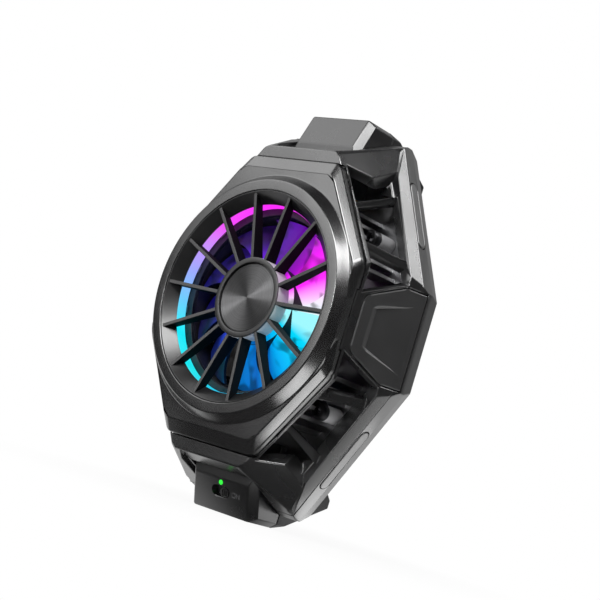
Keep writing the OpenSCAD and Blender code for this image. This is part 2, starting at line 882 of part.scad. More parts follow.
module guide_bushes() {
    color("#b08d3c") stand() both_sides() difference() {
        union() {
            upright(bush_r, rod_x, rod_h, guide_low - bush_flange / 2, guide_end);
            upright(bush_r + 0.3, rod_x, rod_h, guide_low - bush_flange, guide_low);
        }
        upright(rod_r + running, rod_x, rod_h, guide_low - past, guide_end + past);
    }
}

module guide_rods() {
    color("#cfd2d6") stand() both_sides() upright(rod_r, rod_x, rod_h, rod_low, grip + rod_seat - 0.1);
}

module rod_clips() {
    color("#8f9296") stand() both_sides() difference() {
        upright(bush_r, rod_x, rod_h, spring_low - 0.1 - clip_t, spring_low - 0.1);
        upright(rod_r + fit / 2, rod_x, rod_h, rod_low - past, spring_low + past);
    }
}

// Coil of round wire: rings of sides points along a helix that climbs from wire radius to length
ring_steps = 8;
ring_sides = 6;

function coil_points(r, wire, length, turns) = [
    for (k = [0:turns * ring_steps], j = [0:ring_sides - 1])
        let (a = 360 * k / ring_steps, b = 360 * j / ring_sides, d = r + wire / 2 * cos(b),
            climb = wire / 2 + (length - wire) * k / (turns * ring_steps))
        [d * cos(a), d * sin(a), climb + wire / 2 * sin(b)]
];

function coil_faces(rings) = concat(
    [[for (j = [0:ring_sides - 1]) j]],
    [for (k = [0:rings - 2], j = [0:ring_sides - 1]) let (a = k * ring_sides, m = (j + 1) % ring_sides)
        [a + j, a + ring_sides + j, a + ring_sides + m]],
    [for (k = [0:rings - 2], j = [0:ring_sides - 1]) let (a = k * ring_sides, m = (j + 1) % ring_sides)
        [a + j, a + ring_sides + m, a + m]],
    [[for (j = [ring_sides - 1:-1:0]) (rings - 1) * ring_sides + j]]
);

module return_spring(side) {
    color("#aeb2b7") stand() translate([side * rod_x, spring_low, rod_h]) rotate([-90, 0, 0])
        polyhedron(coil_points(spring_r, spring_wire, spring_rest, spring_turns),
            coil_faces(spring_turns * ring_steps + 1));
}

module return_spring_left() {
    return_spring(-1);
}

module return_spring_right() {
    return_spring(1);
}

spring_path = [for (k = [0:spring_turns * ring_steps]) let (a = 360 * k / ring_steps)
    [spring_r * cos(a), spring_r * sin(a), (spring_rest - spring_wire) * k / (spring_turns * ring_steps)]];
spring_self_gap = min([for (i = [0:len(spring_path) - 1], j = [i + ring_steps / 2:len(spring_path) - 1])
    norm(spring_path[j] - spring_path[i])]) - spring_wire;
echo(spring_self_gap = spring_self_gap);

// Jaws
// Frame on the raked front face of the upper jaw, at the fold: y runs up the face, z out of it
module on_upper_face() {
    translate([0, jaw_fold, jaw_front]) rotate([-jaw_tilt, 0, 0]) children();
}

module on_lower_face() {
    translate([0, -jaw_fold, jaw_front]) rotate([jaw_tilt, 0, 0]) children();
}

module jaw_form() {
    flat = jaw_w / 2 - jaw_bevel;
    reach = jaw_out + hook_reach + jaw_front;
    intersection() {
        across(jaw_w, [
            [grip + grip_step, jaw_front], [jaw_fold, jaw_front], [jaw_out, jaw_front - jaw_rake],
            [jaw_out, jaw_split - 0.6], [grip + hook_nose + hook_tip, -hook_reach],
            [grip + hook_nose, -hook_reach], [grip, hook_nose - hook_reach], [grip, 0], [grip + grip_step, 0]
        ]);
        on_upper_face() translate([0, reach, 0]) rotate([90, 0, 0]) linear_extrude(2 * reach) polygon([
            [-jaw_w / 2, -reach], [jaw_w / 2, -reach], [jaw_w / 2, -jaw_bevel], [flat, 0],
            [-flat, 0], [-jaw_w / 2, -jaw_bevel]
        ]);
        translate([0, 0, -reach]) linear_extrude(2 * reach) polygon([
            [-jaw_w / 2, 0], [jaw_w / 2, 0], [jaw_w / 2, jaw_out - jaw_corner], [flat, jaw_out],
            [-flat, jaw_out], [-jaw_w / 2, jaw_out - jaw_corner]
        ]);
    }
}

module jaw_front_half() {
    intersection() {
        jaw_form();
        block(-jaw_w, jaw_w, 0, 2 * jaw_out, jaw_split, h_ring);
    }
}

module jaw_hook_half() {
    intersection() {
        jaw_form();
        block(-jaw_w, jaw_w, 0, 2 * jaw_out, -2 * hook_reach, jaw_split);
    }
}

module upper_jaw() {
    color("#3b3c40") stand() difference() {
        jaw_front_half();
        both_sides() upright(rod_r + fit, rod_x, rod_h, grip - past, grip + rod_seat);
    }
}

module upper_jaw_hook() {
    color("#1a1a1c") stand() jaw_hook_half();
}

module lower_jaw() {
    slope = tan(jaw_tilt);
    drop = jaw_wall / cos(jaw_tilt);
    inner_end = jaw_out - jaw_wall;
    tongue_w = jaw_w - 0.4;
    color("#313235") stand() difference() {
        union() {
            mirror([0, 1, 0]) difference() {
                jaw_front_half();
                across(jaw_w - 2 * jaw_wall, [
                    [grip - past, jaw_front - jaw_wall], [jaw_fold, jaw_front - jaw_wall],
                    [inner_end, jaw_front - slope * (inner_end - jaw_fold) - drop],
                    [inner_end, jaw_split - past], [grip - past, jaw_split - past]
                ]);
            }
            block(-tongue_w / 2, tongue_w / 2, -grip - jaw_wall, -guide_low, h_bay, h_bay + tongue_t);
        }
        both_sides() translate(-guide_screw) disc(screw_r + fit, h_bay - past, h_fan);
        on_lower_face() {
            translate([0, -slot_down, -jaw_wall - past]) linear_extrude(jaw_wall + 2 * past)
                obround(slot_l, slot_w);
            translate([0, -lamp_down, -jaw_wall - past])
                cylinder(r = lamp_r + fit, h = jaw_wall + 2 * past);
        }
        translate([0, -jaw_out + jaw_wall + past, h_socket]) rotate([90, 0, 0])
            linear_extrude(jaw_wall + 2 * past) obround(socket_w + 0.1, socket_h + 0.1);
    }
}

module lower_jaw_hook() {
    color("#1a1a1c") stand() mirror([0, 1, 0]) jaw_hook_half();
}

module jaw_screws() {
    color("#b9bcc0") stand() both_sides() translate([guide_screw[0], -guide_screw[1], h_bay + tongue_t])
        screw(tongue_t + sink_t);
}

// Switch, light and socket
module switch_slider() {
    stem_low = jaw_wall + 0.15;
    color("#57595d") stand() on_lower_face() translate([switch_travel / 2, -slot_down, 0]) {
        translate([0, 0, -stem_low]) linear_extrude(stem_low + 0.15) obround(knob_l, knob_w);
        for (x = [-0.5, 0, 0.5]) translate([x - 0.12, -knob_w / 3, 0]) cube([0.24, knob_w * 2 / 3, 0.4]);
    }
}

module switch_body() {
    color("#7b7e82") stand() on_lower_face()
        block(-slot_l / 2 - 1, slot_l / 2 + 1, -slot_down - slot_w, -slot_down + slot_w / 2,
            -circuit_deep, -jaw_wall - 0.3);
}

module status_light() {
    color("#4cff5a") stand() on_lower_face() translate([0, -lamp_down, -circuit_deep])
        cylinder(r = lamp_r, h = circuit_deep + 0.1);
}

module control_board() {
    color("#1f3b2a") stand() on_lower_face()
        block(-jaw_w / 2 + jaw_wall + circuit_gap, jaw_w / 2 - jaw_wall - circuit_gap,
            -circuit_l - circuit_gap, -circuit_gap, -circuit_deep - circuit_t, -circuit_deep);
}

module usb_socket() {
    shell = 0.3;
    tongue = [6.6, 0.7];
    color("#c9ccd0") stand() translate([0, -jaw_out + 0.05, h_socket]) rotate([-90, 0, 0]) difference() {
        linear_extrude(socket_l) obround(socket_w, socket_h);
        difference() {
            translate([0, 0, -past]) linear_extrude(socket_l + past - 1)
                obround(socket_w - 2 * shell, socket_h - 2 * shell);
            translate([-tongue[0] / 2, -tongue[1] / 2, 2 * shell]) cube([tongue[0], tongue[1], socket_l]);
        }
    }
}

front_bezel();
front_grille();
hub_cap();
light_ring();
led_board();
leds();
fan_frame();
fan_screws();
rotor();
rotor_magnet();
rotor_shaft();
motor_bearing();
stator_core();
stator_coils();
heatsink();
standoffs();
peltier_module();
foam_gasket();
cold_plate();
contact_pad();
housing();
side_panel_left();
side_panel_right();
rear_cover();
cover_screws();
corner_pad_upper_left();
corner_pad_upper_right();
corner_pad_lower_left();
corner_pad_lower_right();
jaw_guide();
guide_screws();
guide_bushes();
guide_rods();
rod_clips();
return_spring_left();
return_spring_right();
upper_jaw();
upper_jaw_hook();
lower_jaw();
lower_jaw_hook();
jaw_screws();
switch_slider();
switch_body();
status_light();
control_board();
usb_socket();
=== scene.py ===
import math
import bmesh
import bpy
from mathutils import Euler, Matrix, Quaternion, Vector


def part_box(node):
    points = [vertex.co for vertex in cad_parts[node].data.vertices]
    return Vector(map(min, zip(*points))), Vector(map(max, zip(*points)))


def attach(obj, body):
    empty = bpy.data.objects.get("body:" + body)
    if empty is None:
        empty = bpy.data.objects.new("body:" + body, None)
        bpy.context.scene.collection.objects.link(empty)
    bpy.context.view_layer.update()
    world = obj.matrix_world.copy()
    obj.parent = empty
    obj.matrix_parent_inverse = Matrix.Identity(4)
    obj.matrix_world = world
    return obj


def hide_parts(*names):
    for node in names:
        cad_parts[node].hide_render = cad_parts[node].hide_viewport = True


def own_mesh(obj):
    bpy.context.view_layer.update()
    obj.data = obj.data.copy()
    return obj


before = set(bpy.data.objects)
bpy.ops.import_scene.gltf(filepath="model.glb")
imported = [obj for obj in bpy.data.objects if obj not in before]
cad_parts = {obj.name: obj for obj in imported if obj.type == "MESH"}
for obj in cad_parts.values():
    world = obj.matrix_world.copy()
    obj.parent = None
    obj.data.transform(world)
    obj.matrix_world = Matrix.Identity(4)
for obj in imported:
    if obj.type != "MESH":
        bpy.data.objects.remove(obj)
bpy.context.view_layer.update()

# Studio: a pale floor under the lower jaw, white behind the cooler. A broad soft lamp hangs in
# front on each side, with a small one in front, one behind and two strips on the floor. The camera
# looks slightly up at the fan.
MM = 0.001
scene = bpy.context.scene
scene.view_settings.view_transform = "Standard"
camera = bpy.data.objects.new("camera", bpy.data.cameras.new("camera"))
camera.data.sensor_width = 36
camera.data.lens = 86.225
camera.data.clip_start = 0.01
camera.location = Vector((206.69, -227.99, -30.60)) * MM
camera.rotation_euler = Euler([math.radians(a) for a in (96.816, -16.982, 41.102)])
scene.collection.objects.link(camera)
scene.camera = camera


class Nodes:
    """A node tree written one node a line: values and links are given together."""

    def __init__(self, tree):
        self.tree = tree

    def set(self, node, key, value):
        name = key.replace("_", " ").strip()
        socket = node.inputs[int(name)] if name.isdigit() else node.inputs[name]
        if isinstance(value, bpy.types.NodeSocket):
            self.tree.links.new(value, socket)
        else:
            socket.default_value = value

    def node(self, kind, settings=(), **inputs):
        made = self.tree.nodes.new(kind)
        for key, value in dict(settings).items():
            setattr(made, key, value)
        for key, value in inputs.items():
            self.set(made, key, value)
        return made

    def add(self, kind, out=0, settings=(), **inputs):
        return self.node(kind, settings, **inputs).outputs[out]

    def place(self):
        """Where the shaded point lies on the part."""
        return self.add("ShaderNodeTexCoord", "Object")

    def surface(self, **inputs):
        """Ends a material with one principled surface."""
        self.node("ShaderNodeOutputMaterial", Surface=self.add("ShaderNodeBsdfPrincipled", **inputs))

    def maths(self, operation, a, b=0.0, clamp=False):
        return self.add("ShaderNodeMath", settings={"operation": operation, "use_clamp": clamp}, _0=a, _1=b)

    def span(self, value, low, high, to_low, to_high):
        return self.add("ShaderNodeMapRange", settings={"interpolation_type": "SMOOTHSTEP"}, Value=value,
                        From_Min=low, From_Max=high, To_Min=to_low, To_Max=to_high)

    def ramp(self, factor, stops):
        made = self.node("ShaderNodeValToRGB", Fac=factor)
        points = made.color_ramp.elements
        while len(points) < len(stops):
            points.new(0.5)
        for point, (place, colour) in zip(points, stops):
            point.position = place
            point.color = (*colour, 1)
        return made.outputs[0]


def new_material(name):
    """An empty material and the writer of its nodes."""
    material = bpy.data.materials.new(name)
    material.use_nodes = True
    material.node_tree.nodes.clear()
    return material, Nodes(material.node_tree)


world = bpy.data.worlds.new("studio")
world.use_nodes = True
world.node_tree.nodes.clear()
scene.world = world
n = Nodes(world.node_tree)
rays = n.node("ShaderNodeLightPath").outputs
heading = n.node("ShaderNodeSeparateXYZ", Vector=n.add("ShaderNodeTexCoord", "Generated")).outputs
slant = n.maths("SUBTRACT", heading["Y"], n.maths("MULTIPLY", heading["X"], 0.6))
behind = n.span(slant, 0.30, 0.90, 0.035, 0.45)
seen = n.maths("ADD", rays["Is Camera Ray"], rays["Is Transmission Ray"], True)
level = n.add("ShaderNodeMix", _0=seen, _2=behind, _3=1.0)
sky = n.add("ShaderNodeBackground", Color=(1, 1, 1, 1), Strength=level)
n.node("ShaderNodeOutputWorld", Surface=sky)

FLOOR, FLOOR_HALF = -43.4 * MM, 3.0
bm = bmesh.new()
bmesh.ops.create_grid(bm, x_segments=1, y_segments=1, size=FLOOR_HALF)
bmesh.ops.translate(bm, verts=bm.verts, vec=(0, 0, FLOOR))
mesh = bpy.data.meshes.new("floor")
bm.to_mesh(mesh)
bm.free()
floor = bpy.data.objects.new("floor", mesh)
scene.collection.objects.link(floor)
pale, n = new_material("pale_floor")
rays = n.node("ShaderNodeLightPath").outputs
place = n.node("ShaderNodeSeparateXYZ", Vector=n.place()).outputs
# Seen in reflections the floor glows by itself, dimming to the front and to the right: painted shade on the
# floor.
slant = n.maths("SUBTRACT", place["Y"], n.maths("MULTIPLY", place["X"], 0.5))
behind = n.maths("MULTIPLY", n.span(slant, -0.018, -0.003, 0.05, 1.0),
                 n.span(place["X"], 0.10, 0.30, 1.0, 0.3))
strength = n.add("ShaderNodeMix", _0=rays["Is Camera Ray"], _2=behind, _3=1.0)
white = n.add("ShaderNodeEmission", Color=(1, 1, 1, 1), Strength=strength)
plain = n.add("ShaderNodeBsdfDiffuse", Color=(0.8, 0.8, 0.8, 1))
away = n.add("ShaderNodeVectorMath", "Value", {"operation": "LENGTH"},
             _0=n.place())
shown = n.maths("MULTIPLY", rays["Is Camera Ray"], n.span(away, 0.045, 0.085, 0.94, 1.0))
shown = n.maths("MAXIMUM", shown, rays["Is Glossy Ray"])
shown = n.maths("MAXIMUM", shown, rays["Is Transmission Ray"])
n.node("ShaderNodeOutputMaterial", Surface=n.add("ShaderNodeMixShader", _0=shown, _1=plain, _2=white))
floor.data.materials.append(pale)


def new_lamp(name, wide, high, watts, place, turn):
    """An oblong area lamp, its sides in metres."""
    lamp = bpy.data.lights.new(name, "AREA")
    lamp.shape = "RECTANGLE"
    lamp.size, lamp.size_y, lamp.energy = wide, high, watts
    holder = bpy.data.objects.new(name, lamp)
    holder.location, holder.rotation_euler = place, turn
    scene.collection.objects.link(holder)
    return holder


# Each lamp: direction from the fan, distance, width and height in metres, tilt in degrees, watts
LAMPS = {
    "key": ((0.34, -0.58, 0.74), 0.65, 0.54, 0.27, 0, 3.1),
    "fill": ((-0.586, -0.62, 0.522), 0.65, 0.90, 0.40, -45, 1.55),
    "rim": ((0.50, 0.42, 0.76), 0.60, 0.22, 0.14, 0, 0.5),
    "front": ((0.0, -0.97, 0.22), 0.70, 0.08, 0.08, 0, 0.6),
}
for name, (direction, far, wide, high, tilt, watts) in LAMPS.items():
    aim = Vector(direction).normalized()
    turn = aim.to_track_quat("Z", "Y") @ Quaternion((0, 0, 1), math.radians(tilt))
    new_lamp(name, wide, high, watts, aim * far, turn.to_euler())
# Each strip, for the edges that face down: place in millimetres, turn, length, width, watts
STRIPS = {
    "strip_front": ((43.0, -36.9), -33, 0.039, 0.012, 0.0046),
    "strip_back": ((31.0, 18.0), 49, 0.046, 0.014, 0.0030),
}
STRIP_UP = 0.2 * MM
for name, ((x, y), turn, long, wide, watts) in STRIPS.items():
    place = (x * MM, y * MM, FLOOR + STRIP_UP)
    new_lamp(name, long, wide, watts, place, (math.pi, 0, math.radians(turn))).visible_camera = False


# Cold plate: a square of milled aluminium with rounded corners that takes the phone's heat. Its
# back stands through the rear cover, and the contact pad is stuck to it.
def new_piece(bm, name, sharp):
    """An object made of the mesh, shaded smooth except at edges that turn by sharp degrees."""
    for edge in bm.edges:
        edge.smooth = len(edge.link_faces) == 2 and edge.calc_face_angle(0) < math.radians(sharp)
    for face in bm.faces:
        face.smooth = True
    mesh = bpy.data.meshes.new(name)
    bm.to_mesh(mesh)
    bm.free()
    piece = bpy.data.objects.new(name, mesh)
    scene.collection.objects.link(piece)
    return piece


def finish_piece(bm, name, body, replaces, material, sharp=35, flat=False):
    """Turns a mesh into a piece on its body. On a flat piece the largest face at each corner sets
    the shading, so that its broad faces stay even."""
    piece = new_piece(bm, name, sharp)
    even = piece.modifiers.new("even", "WEIGHTED_NORMAL")
    even.keep_sharp = True
    if flat:
        even.weight, even.thresh = 100, 0.0
    return settle(piece, body, replaces, material)


def settle(piece, body, replaces, material):
    """Turns the piece's modifiers into plain mesh, then says where it belongs."""
    bpy.context.view_layer.update()
    made = piece.evaluated_get(bpy.context.evaluated_depsgraph_get())
    mesh = bpy.data.meshes.new_from_object(made)
    piece.modifiers.clear()
    piece.data = mesh
    mesh.materials.clear()
    mesh.materials.append(material)
    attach(piece, body)
    if replaces:
        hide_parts(*replaces)
    return piece


def skin_of(node, most=4, merge=0.002, level=0.6):
    """A CAD node's surface as one skin of flat faces with at most so many corners each. Points
    within merge millimetres are joined, and so are faces that turn less than level degrees."""
    bm = bmesh.new()
    bm.from_mesh(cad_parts[node].data)
    bmesh.ops.remove_doubles(bm, verts=bm.verts, dist=merge * MM)
    bmesh.ops.dissolve_limit(bm, angle_limit=math.radians(level), verts=bm.verts, edges=bm.edges)
    bmesh.ops.triangulate(bm, faces=[f for f in bm.faces if len(f.verts) > most])
    return bm


def ease(bm, width, angle=25, least=None, where=None, segments=5):
    """Rounds the long edges that turn more than angle degrees, as a mould or a file leaves them."""
    least = 2.5 * width if least is None else least
    edges = [e for e in bm.edges if len(e.link_faces) == 2 and e.calc_face_angle(0) > math.radians(angle)
             and e.calc_length() > least * MM and (where is None or where(e))]
    bmesh.ops.bevel(bm, geom=edges, offset=width * MM, offset_type="OFFSET", segments=segments,
                    profile=0.5, affect="EDGES", clamp_overlap=False, loop_slide=False)
    return bm


def is_corner(edge, turn=20, least=0.3):
    """True where two faces that look outward meet at an outer corner, seen from the front."""
    looks = [Vector((f.normal.x, f.normal.z)) for f in edge.link_faces]
    outward = min(v.length for v in looks) > least
    return edge.is_convex and outward and looks[0].angle(looks[1]) > math.radians(turn)


def grained(name, colour, rough=0.36, grain=0.10, grain_size=0.28, ior=1.6, gloss=0.9, metallic=0.0,
            mottle=0.14, stretch=(1, 1, 1)):
    """Moulded or machined surface: a fine grain, and roughness and tone that wander a little."""
    material, n = new_material(name)
    place = n.place()
    drawn = n.add("ShaderNodeMapping", Vector=place, Scale=stretch)
    fine = n.add("ShaderNodeTexNoise", Vector=drawn, Scale=1 / (grain_size * MM), Detail=2.0)
    broad = n.add("ShaderNodeTexNoise", Vector=place, Scale=70.0, Detail=3.0)
    tone = n.ramp(n.maths("ADD", n.maths("MULTIPLY", fine, 0.5), n.maths("MULTIPLY", broad, 0.5)), [
        (0.3, [c * (1 - mottle) for c in colour]), (0.7, [c * (1 + mottle) for c in colour])])
    wander = n.span(broad, 0.3, 0.7, rough - 0.03, rough + 0.04)
    bump = n.add("ShaderNodeBump", Strength=grain, Distance=0.06 * MM, Height=fine)
    n.surface(Base_Color=tone, Roughness=wander, Normal=bump, IOR=ior, Specular_IOR_Level=gloss,
              Metallic=metallic)
    return material


milled = grained("milled_aluminium", (0.62, 0.63, 0.64), rough=0.34, grain=0.12, metallic=1.0,
                 mottle=0.06, stretch=(0.08, 1, 1))
finish_piece(ease(skin_of("cold_plate"), 0.3, angle=40, least=1), "cold_plate_milled", "base",
             ["cold_plate"], milled)


# Contact pad: soft silicone sheet that fills the gap to the phone's back. It is crowned a little,
# its edges are rounded over, and its face is pressed with a fine diamond pattern.
def rounded_square(half, radius, height, steps=8):
    """Outline of a square with round corners, so many millimetres in front of the phone."""
    points = []
    for quarter in range(4):
        turn = math.pi / 2 * quarter
        centre = Matrix.Rotation(turn, 2) @ Vector((half - radius, half - radius))
        for i in range(steps + 1):
            a = turn + math.pi / 2 * i / steps
            p = centre + radius * Vector((math.cos(a), math.sin(a)))
            points.append(Vector((p.x, -height, p.y)) * MM)
    return points


def lofted(rings, closed=True):
    """Skin through rings of as many points each, with its two ends closed."""
    bm = bmesh.new()
    rows = [[bm.verts.new(p) for p in ring] for ring in rings]
    for a, b in zip(rows, rows[1:]):
        for i in range(len(a)):
            j = (i + 1) % len(a)
            bm.faces.new((a[i], a[j], b[j], b[i]))
    if closed:
        bm.faces.new(rows[0][::-1])
        bm.faces.new(rows[-1])
    bmesh.ops.recalc_face_normals(bm, faces=bm.faces)
    return bm


PAD_HALF, PAD_CORNER, PAD_LEAST = 18.5, 2.5, 0.6
PAD_EDGE = [(0.12, 0.5), (0.0, 0.42), (0.0, 0.2), (0.05, 0.08), (0.2, 0.03), (1.2, 0.01), (6, 0.0)]
rings = [rounded_square(PAD_HALF - inset, max(PAD_CORNER - inset, PAD_LEAST), height)
         for inset, height in PAD_EDGE]
silicone, n = new_material("silicone_pad")
place = n.place()
diagonal = n.add("ShaderNodeMapping", Vector=place, Rotation=(0, math.radians(45), 0))
weave = n.node("ShaderNodeSeparateXYZ", Vector=diagonal).outputs
PAD_PITCH = 0.9 * MM
waves = [n.maths("SINE", n.maths("MULTIPLY", weave[axis], 2 * math.pi / PAD_PITCH)) for axis in "XZ"]
dimples = n.maths("MULTIPLY", *waves)
cloud = n.add("ShaderNodeTexNoise", Vector=place, Scale=300.0, Detail=4.0)
shade = n.ramp(cloud, [(0.3, (0.27, 0.29, 0.31)), (0.7, (0.36, 0.38, 0.40))])
bump = n.add("ShaderNodeBump", Strength=0.35, Distance=0.08 * MM, Height=dimples)
n.surface(Base_Color=shade, Normal=bump, IOR=1.43, Roughness=n.span(cloud, 0.3, 0.7, 0.5, 0.62))
pad = finish_piece(lofted(rings), "contact_pad_silicone", "base", ["contact_pad"], silicone,
                   sharp=60)

# Thermoelectric module: two white ceramic plates with rows of small dark pellets soldered between
# them. It is clamped between the cold plate and the heatsink.
ceramic = grained("ceramic", (0.78, 0.78, 0.75), rough=0.5, grain=0.06, mottle=0.04, ior=1.5, gloss=0.5)


def block(bm, low, high):
    """Adds a box between two corners, in millimetres."""
    made = bmesh.ops.create_cube(bm, size=1)["verts"]
    low, high = Vector(low) * MM, Vector(high) * MM
    for v in made:
        v.co = Vector([low[i] + (v.co[i] + 0.5) * (high[i] - low[i]) for i in range(3)])


MODULE_HALF, MODULE_BACK, MODULE_FRONT, CERAMIC = 15, 2.5, 5.7, 0.7
bm = bmesh.new()
for front in (MODULE_BACK + CERAMIC, MODULE_FRONT):
    block(bm, (-MODULE_HALF, -front, -MODULE_HALF), (MODULE_HALF, CERAMIC - front, MODULE_HALF))
finish_piece(ease(bm, 0.15), "module_ceramics", "base", ["peltier_module"], ceramic)


def new_tree(name, **inputs):
    """Geometry tree with named inputs; returns its writer and the sockets of its input node."""
    tree = bpy.data.node_groups.new(name, "GeometryNodeTree")
    tree.interface.new_socket("Geometry", in_out="INPUT", socket_type="NodeSocketGeometry")
    for key, kind in inputs.items():
        tree.interface.new_socket(key, in_out="INPUT", socket_type="NodeSocket" + kind)
    tree.interface.new_socket("Material", in_out="INPUT", socket_type="NodeSocketMaterial")
    tree.interface.new_socket("Geometry", in_out="OUTPUT", socket_type="NodeSocketGeometry")
    n = Nodes(tree)
    return n, n.node("NodeGroupInput").outputs


def close_tree(n, given, instances):
    """Ends a tree: real geometry in place of instances, and the piece's material."""
    real = n.add("GeometryNodeRealizeInstances", Geometry=instances)
    dressed = n.add("GeometryNodeSetMaterial", Geometry=real, Material=given["Material"])
    n.node("NodeGroupOutput", Geometry=dressed)
    return n.tree


def repeated(bm, name, body, replaces, slot, material, tree, sharp=35, **inputs):
    """One element, repeated by a geometry tree, as a plain mesh that rides on its body."""
    piece = new_piece(bm, name, sharp)
    grower = piece.modifiers.new("repeat", "NODES")
    grower.node_group = tree
    inputs["Material"] = material
    for item in tree.interface.items_tree:
        if item.in_out == "INPUT" and item.name in inputs:
            grower[item.identifier] = inputs[item.name]
    piece.modifiers.new("even", "WEIGHTED_NORMAL").keep_sharp = True
    return settle(piece, body, replaces, material)


# Tree that sets copies on a grid of points across the piece
n, given = new_tree("on_grid", Wide="Float", High="Float", Columns="Int", Rows="Int", Place="Vector")
spots = n.add("GeometryNodeMeshGrid", Size_X=given["Wide"], Size_Y=given["High"],
              Vertices_X=given["Columns"], Vertices_Y=given["Rows"])
upright = n.add("GeometryNodeTransform", Geometry=spots, Translation=given["Place"],
                Rotation=(math.radians(90), 0, 0))
copies = n.add("GeometryNodeInstanceOnPoints", Points=upright, Instance=given["Geometry"])
on_grid = close_tree(n, given, copies)

pellet = grained("pellet_alloy", (0.16, 0.16, 0.18), rough=0.4, metallic=1.0)
PELLET, PELLET_ROW, PELLET_IN = 1.2, 12, 1.8
bm = bmesh.new()
half_gap = (MODULE_FRONT - MODULE_BACK) / 2 - CERAMIC
block(bm, (-PELLET / 2, -half_gap, -PELLET / 2), (PELLET / 2, half_gap, PELLET / 2))
spread = 2 * (MODULE_HALF - PELLET_IN) * MM
repeated(bm, "module_pellets", "base", [], "ceramic", pellet, on_grid, Wide=spread, High=spread,
         Columns=PELLET_ROW, Rows=PELLET_ROW, Place=(0, -(MODULE_BACK + MODULE_FRONT) / 2 * MM, 0))

# Foam gasket: a die-cut frame of closed-cell foam round the module. It is squeezed between the
# cold plate and the heatsink and bulges a little on its free sides.
GASKET_OUT, GASKET_IN, GASKET_BULGE = 18.5, 15.3, 0.35
GASKET_CORNER_OUT, GASKET_CORNER_IN = 3, 0.8
section = [(0.0, 2.5), (0.25, 3.2), (GASKET_BULGE, 4.1), (0.25, 5.0), (0.0, 5.7)]
rings = [rounded_square(GASKET_OUT - GASKET_BULGE + bulge, GASKET_CORNER_OUT, height)
         for bulge, height in section]
rings += [rounded_square(GASKET_IN + GASKET_BULGE - bulge, GASKET_CORNER_IN, height)
          for bulge, height in section[::-1]]
rings.append(rings[0])
bm = lofted(rings, closed=False)
bmesh.ops.remove_doubles(bm, verts=bm.verts, dist=0.001 * MM)
bmesh.ops.recalc_face_normals(bm, faces=bm.faces)
foam, n = new_material("closed_cell_foam")
place = n.place()
cells = n.add("ShaderNodeTexVoronoi", Vector=place, Scale=1 / (0.35 * MM))
bump = n.add("ShaderNodeBump", Strength=0.6, Distance=0.1 * MM, Height=cells)
n.surface(
    Normal=bump, IOR=1.4, Roughness=n.span(cells, 0, 0.6, 0.75, 0.95),
    Base_Color=n.ramp(cells, [(0.1, (0.006, 0.006, 0.007)), (0.6, (0.022, 0.022, 0.024))]))
gasket = finish_piece(bm, "gasket_foam", "base", ["foam_gasket"], foam, sharp=60)

# Heatsink: one aluminium casting, a plate on the module's hot side with level fins that stand in
# the four vents.
cast = grained("cast_aluminium", (0.42, 0.42, 0.43), rough=0.42, grain=0.15, metallic=1.0, mottle=0.08)
finish_piece(ease(skin_of("heatsink"), 0.15, angle=60, least=0.6), "heatsink_casting", "base",
             ["heatsink"], cast)

# Posts: four turned sleeves of light grey nylon that carry the fan's frame above the heatsink. The
# fan's screws run through them.
nylon = grained("grey_nylon", (0.5, 0.5, 0.51), rough=0.4, grain=0.06, mottle=0.05)


def turned(profile, steps=64, depth=None):
    """Lathe work: a closed profile of (radius, height) in millimetres, turned about the fan's axis,
    or about an upright axis at the given depth."""
    bm = bmesh.new()
    rows = []
    for i in range(steps):
        a = 2 * math.pi * i / steps
        row = []
        for r, h in profile:
            x, t = r * math.cos(a), r * math.sin(a)
            spot = (x, -h, t) if depth is None else (x, t - depth, h)
            row.append(bm.verts.new(Vector(spot) * MM))
        rows.append(row)
    for i in range(steps):
        a, b = rows[i], rows[(i + 1) % steps]
        for k in range(len(profile)):
            m = (k + 1) % len(profile)
            bm.faces.new((a[k], a[m], b[m], b[k]))
    bmesh.ops.remove_doubles(bm, verts=bm.verts, dist=0.001 * MM)
    bmesh.ops.dissolve_degenerate(bm, edges=bm.edges, dist=0.0005 * MM)
    bmesh.ops.recalc_face_normals(bm, faces=bm.faces)
    return bm


def rounded(profile, radius, steps=3):
    """Profile with every corner rounded, as far as its two sides allow."""
    points = []
    for i, corner in enumerate(profile):
        p, a, b = (Vector(profile[j % len(profile)]) for j in (i, i - 1, i + 1))
        to_a, to_b = a - p, b - p
        if corner[0] == 0 or to_a.length == 0 or to_b.length == 0:
            points.append(tuple(p))
            continue
        half = to_a.angle(to_b) / 2
        cut = min(radius / math.tan(half), 0.45 * to_a.length, 0.45 * to_b.length)
        start, end = p + to_a.normalized() * cut, p + to_b.normalized() * cut
        for k in range(steps + 1):
            t = k / steps
            points.append(tuple(start * (1 - t) ** 2 + p * 2 * t * (1 - t) + end * t ** 2))
    return points


POST_R, POST_HOLE = 1.7, 0.95
low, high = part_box("standoffs")
back, front = -high.y / MM, -low.y / MM
profile = rounded([(POST_HOLE, back), (POST_R, back), (POST_R, front), (POST_HOLE, front)], 0.25)
repeated(turned(profile, 40), "fan_posts", "base", ["standoffs"], "aluminium", nylon, on_grid,
         Wide=2 * (high.x - POST_R * MM), High=2 * (high.z - POST_R * MM), Columns=2, Rows=2,
         Place=(0, 0, 0))

# Jaw guide: a black acetal block screwed across the top of the heatsink, with two sintered bronze
# bushes pressed in for the rods.
acetal = grained("black_acetal", (0.014, 0.014, 0.015), rough=0.42)
finish_piece(ease(skin_of("jaw_guide"), 0.3, angle=60, least=1), "jaw_guide_block", "base",
             ["jaw_guide"], acetal)
bronze = grained("sintered_bronze", (0.42, 0.27, 0.09), rough=0.38, grain=0.3, grain_size=0.15,
                 metallic=1.0)
finish_piece(skin_of("guide_bushes"), "rod_bushes", "base", ["guide_bushes"], bronze)

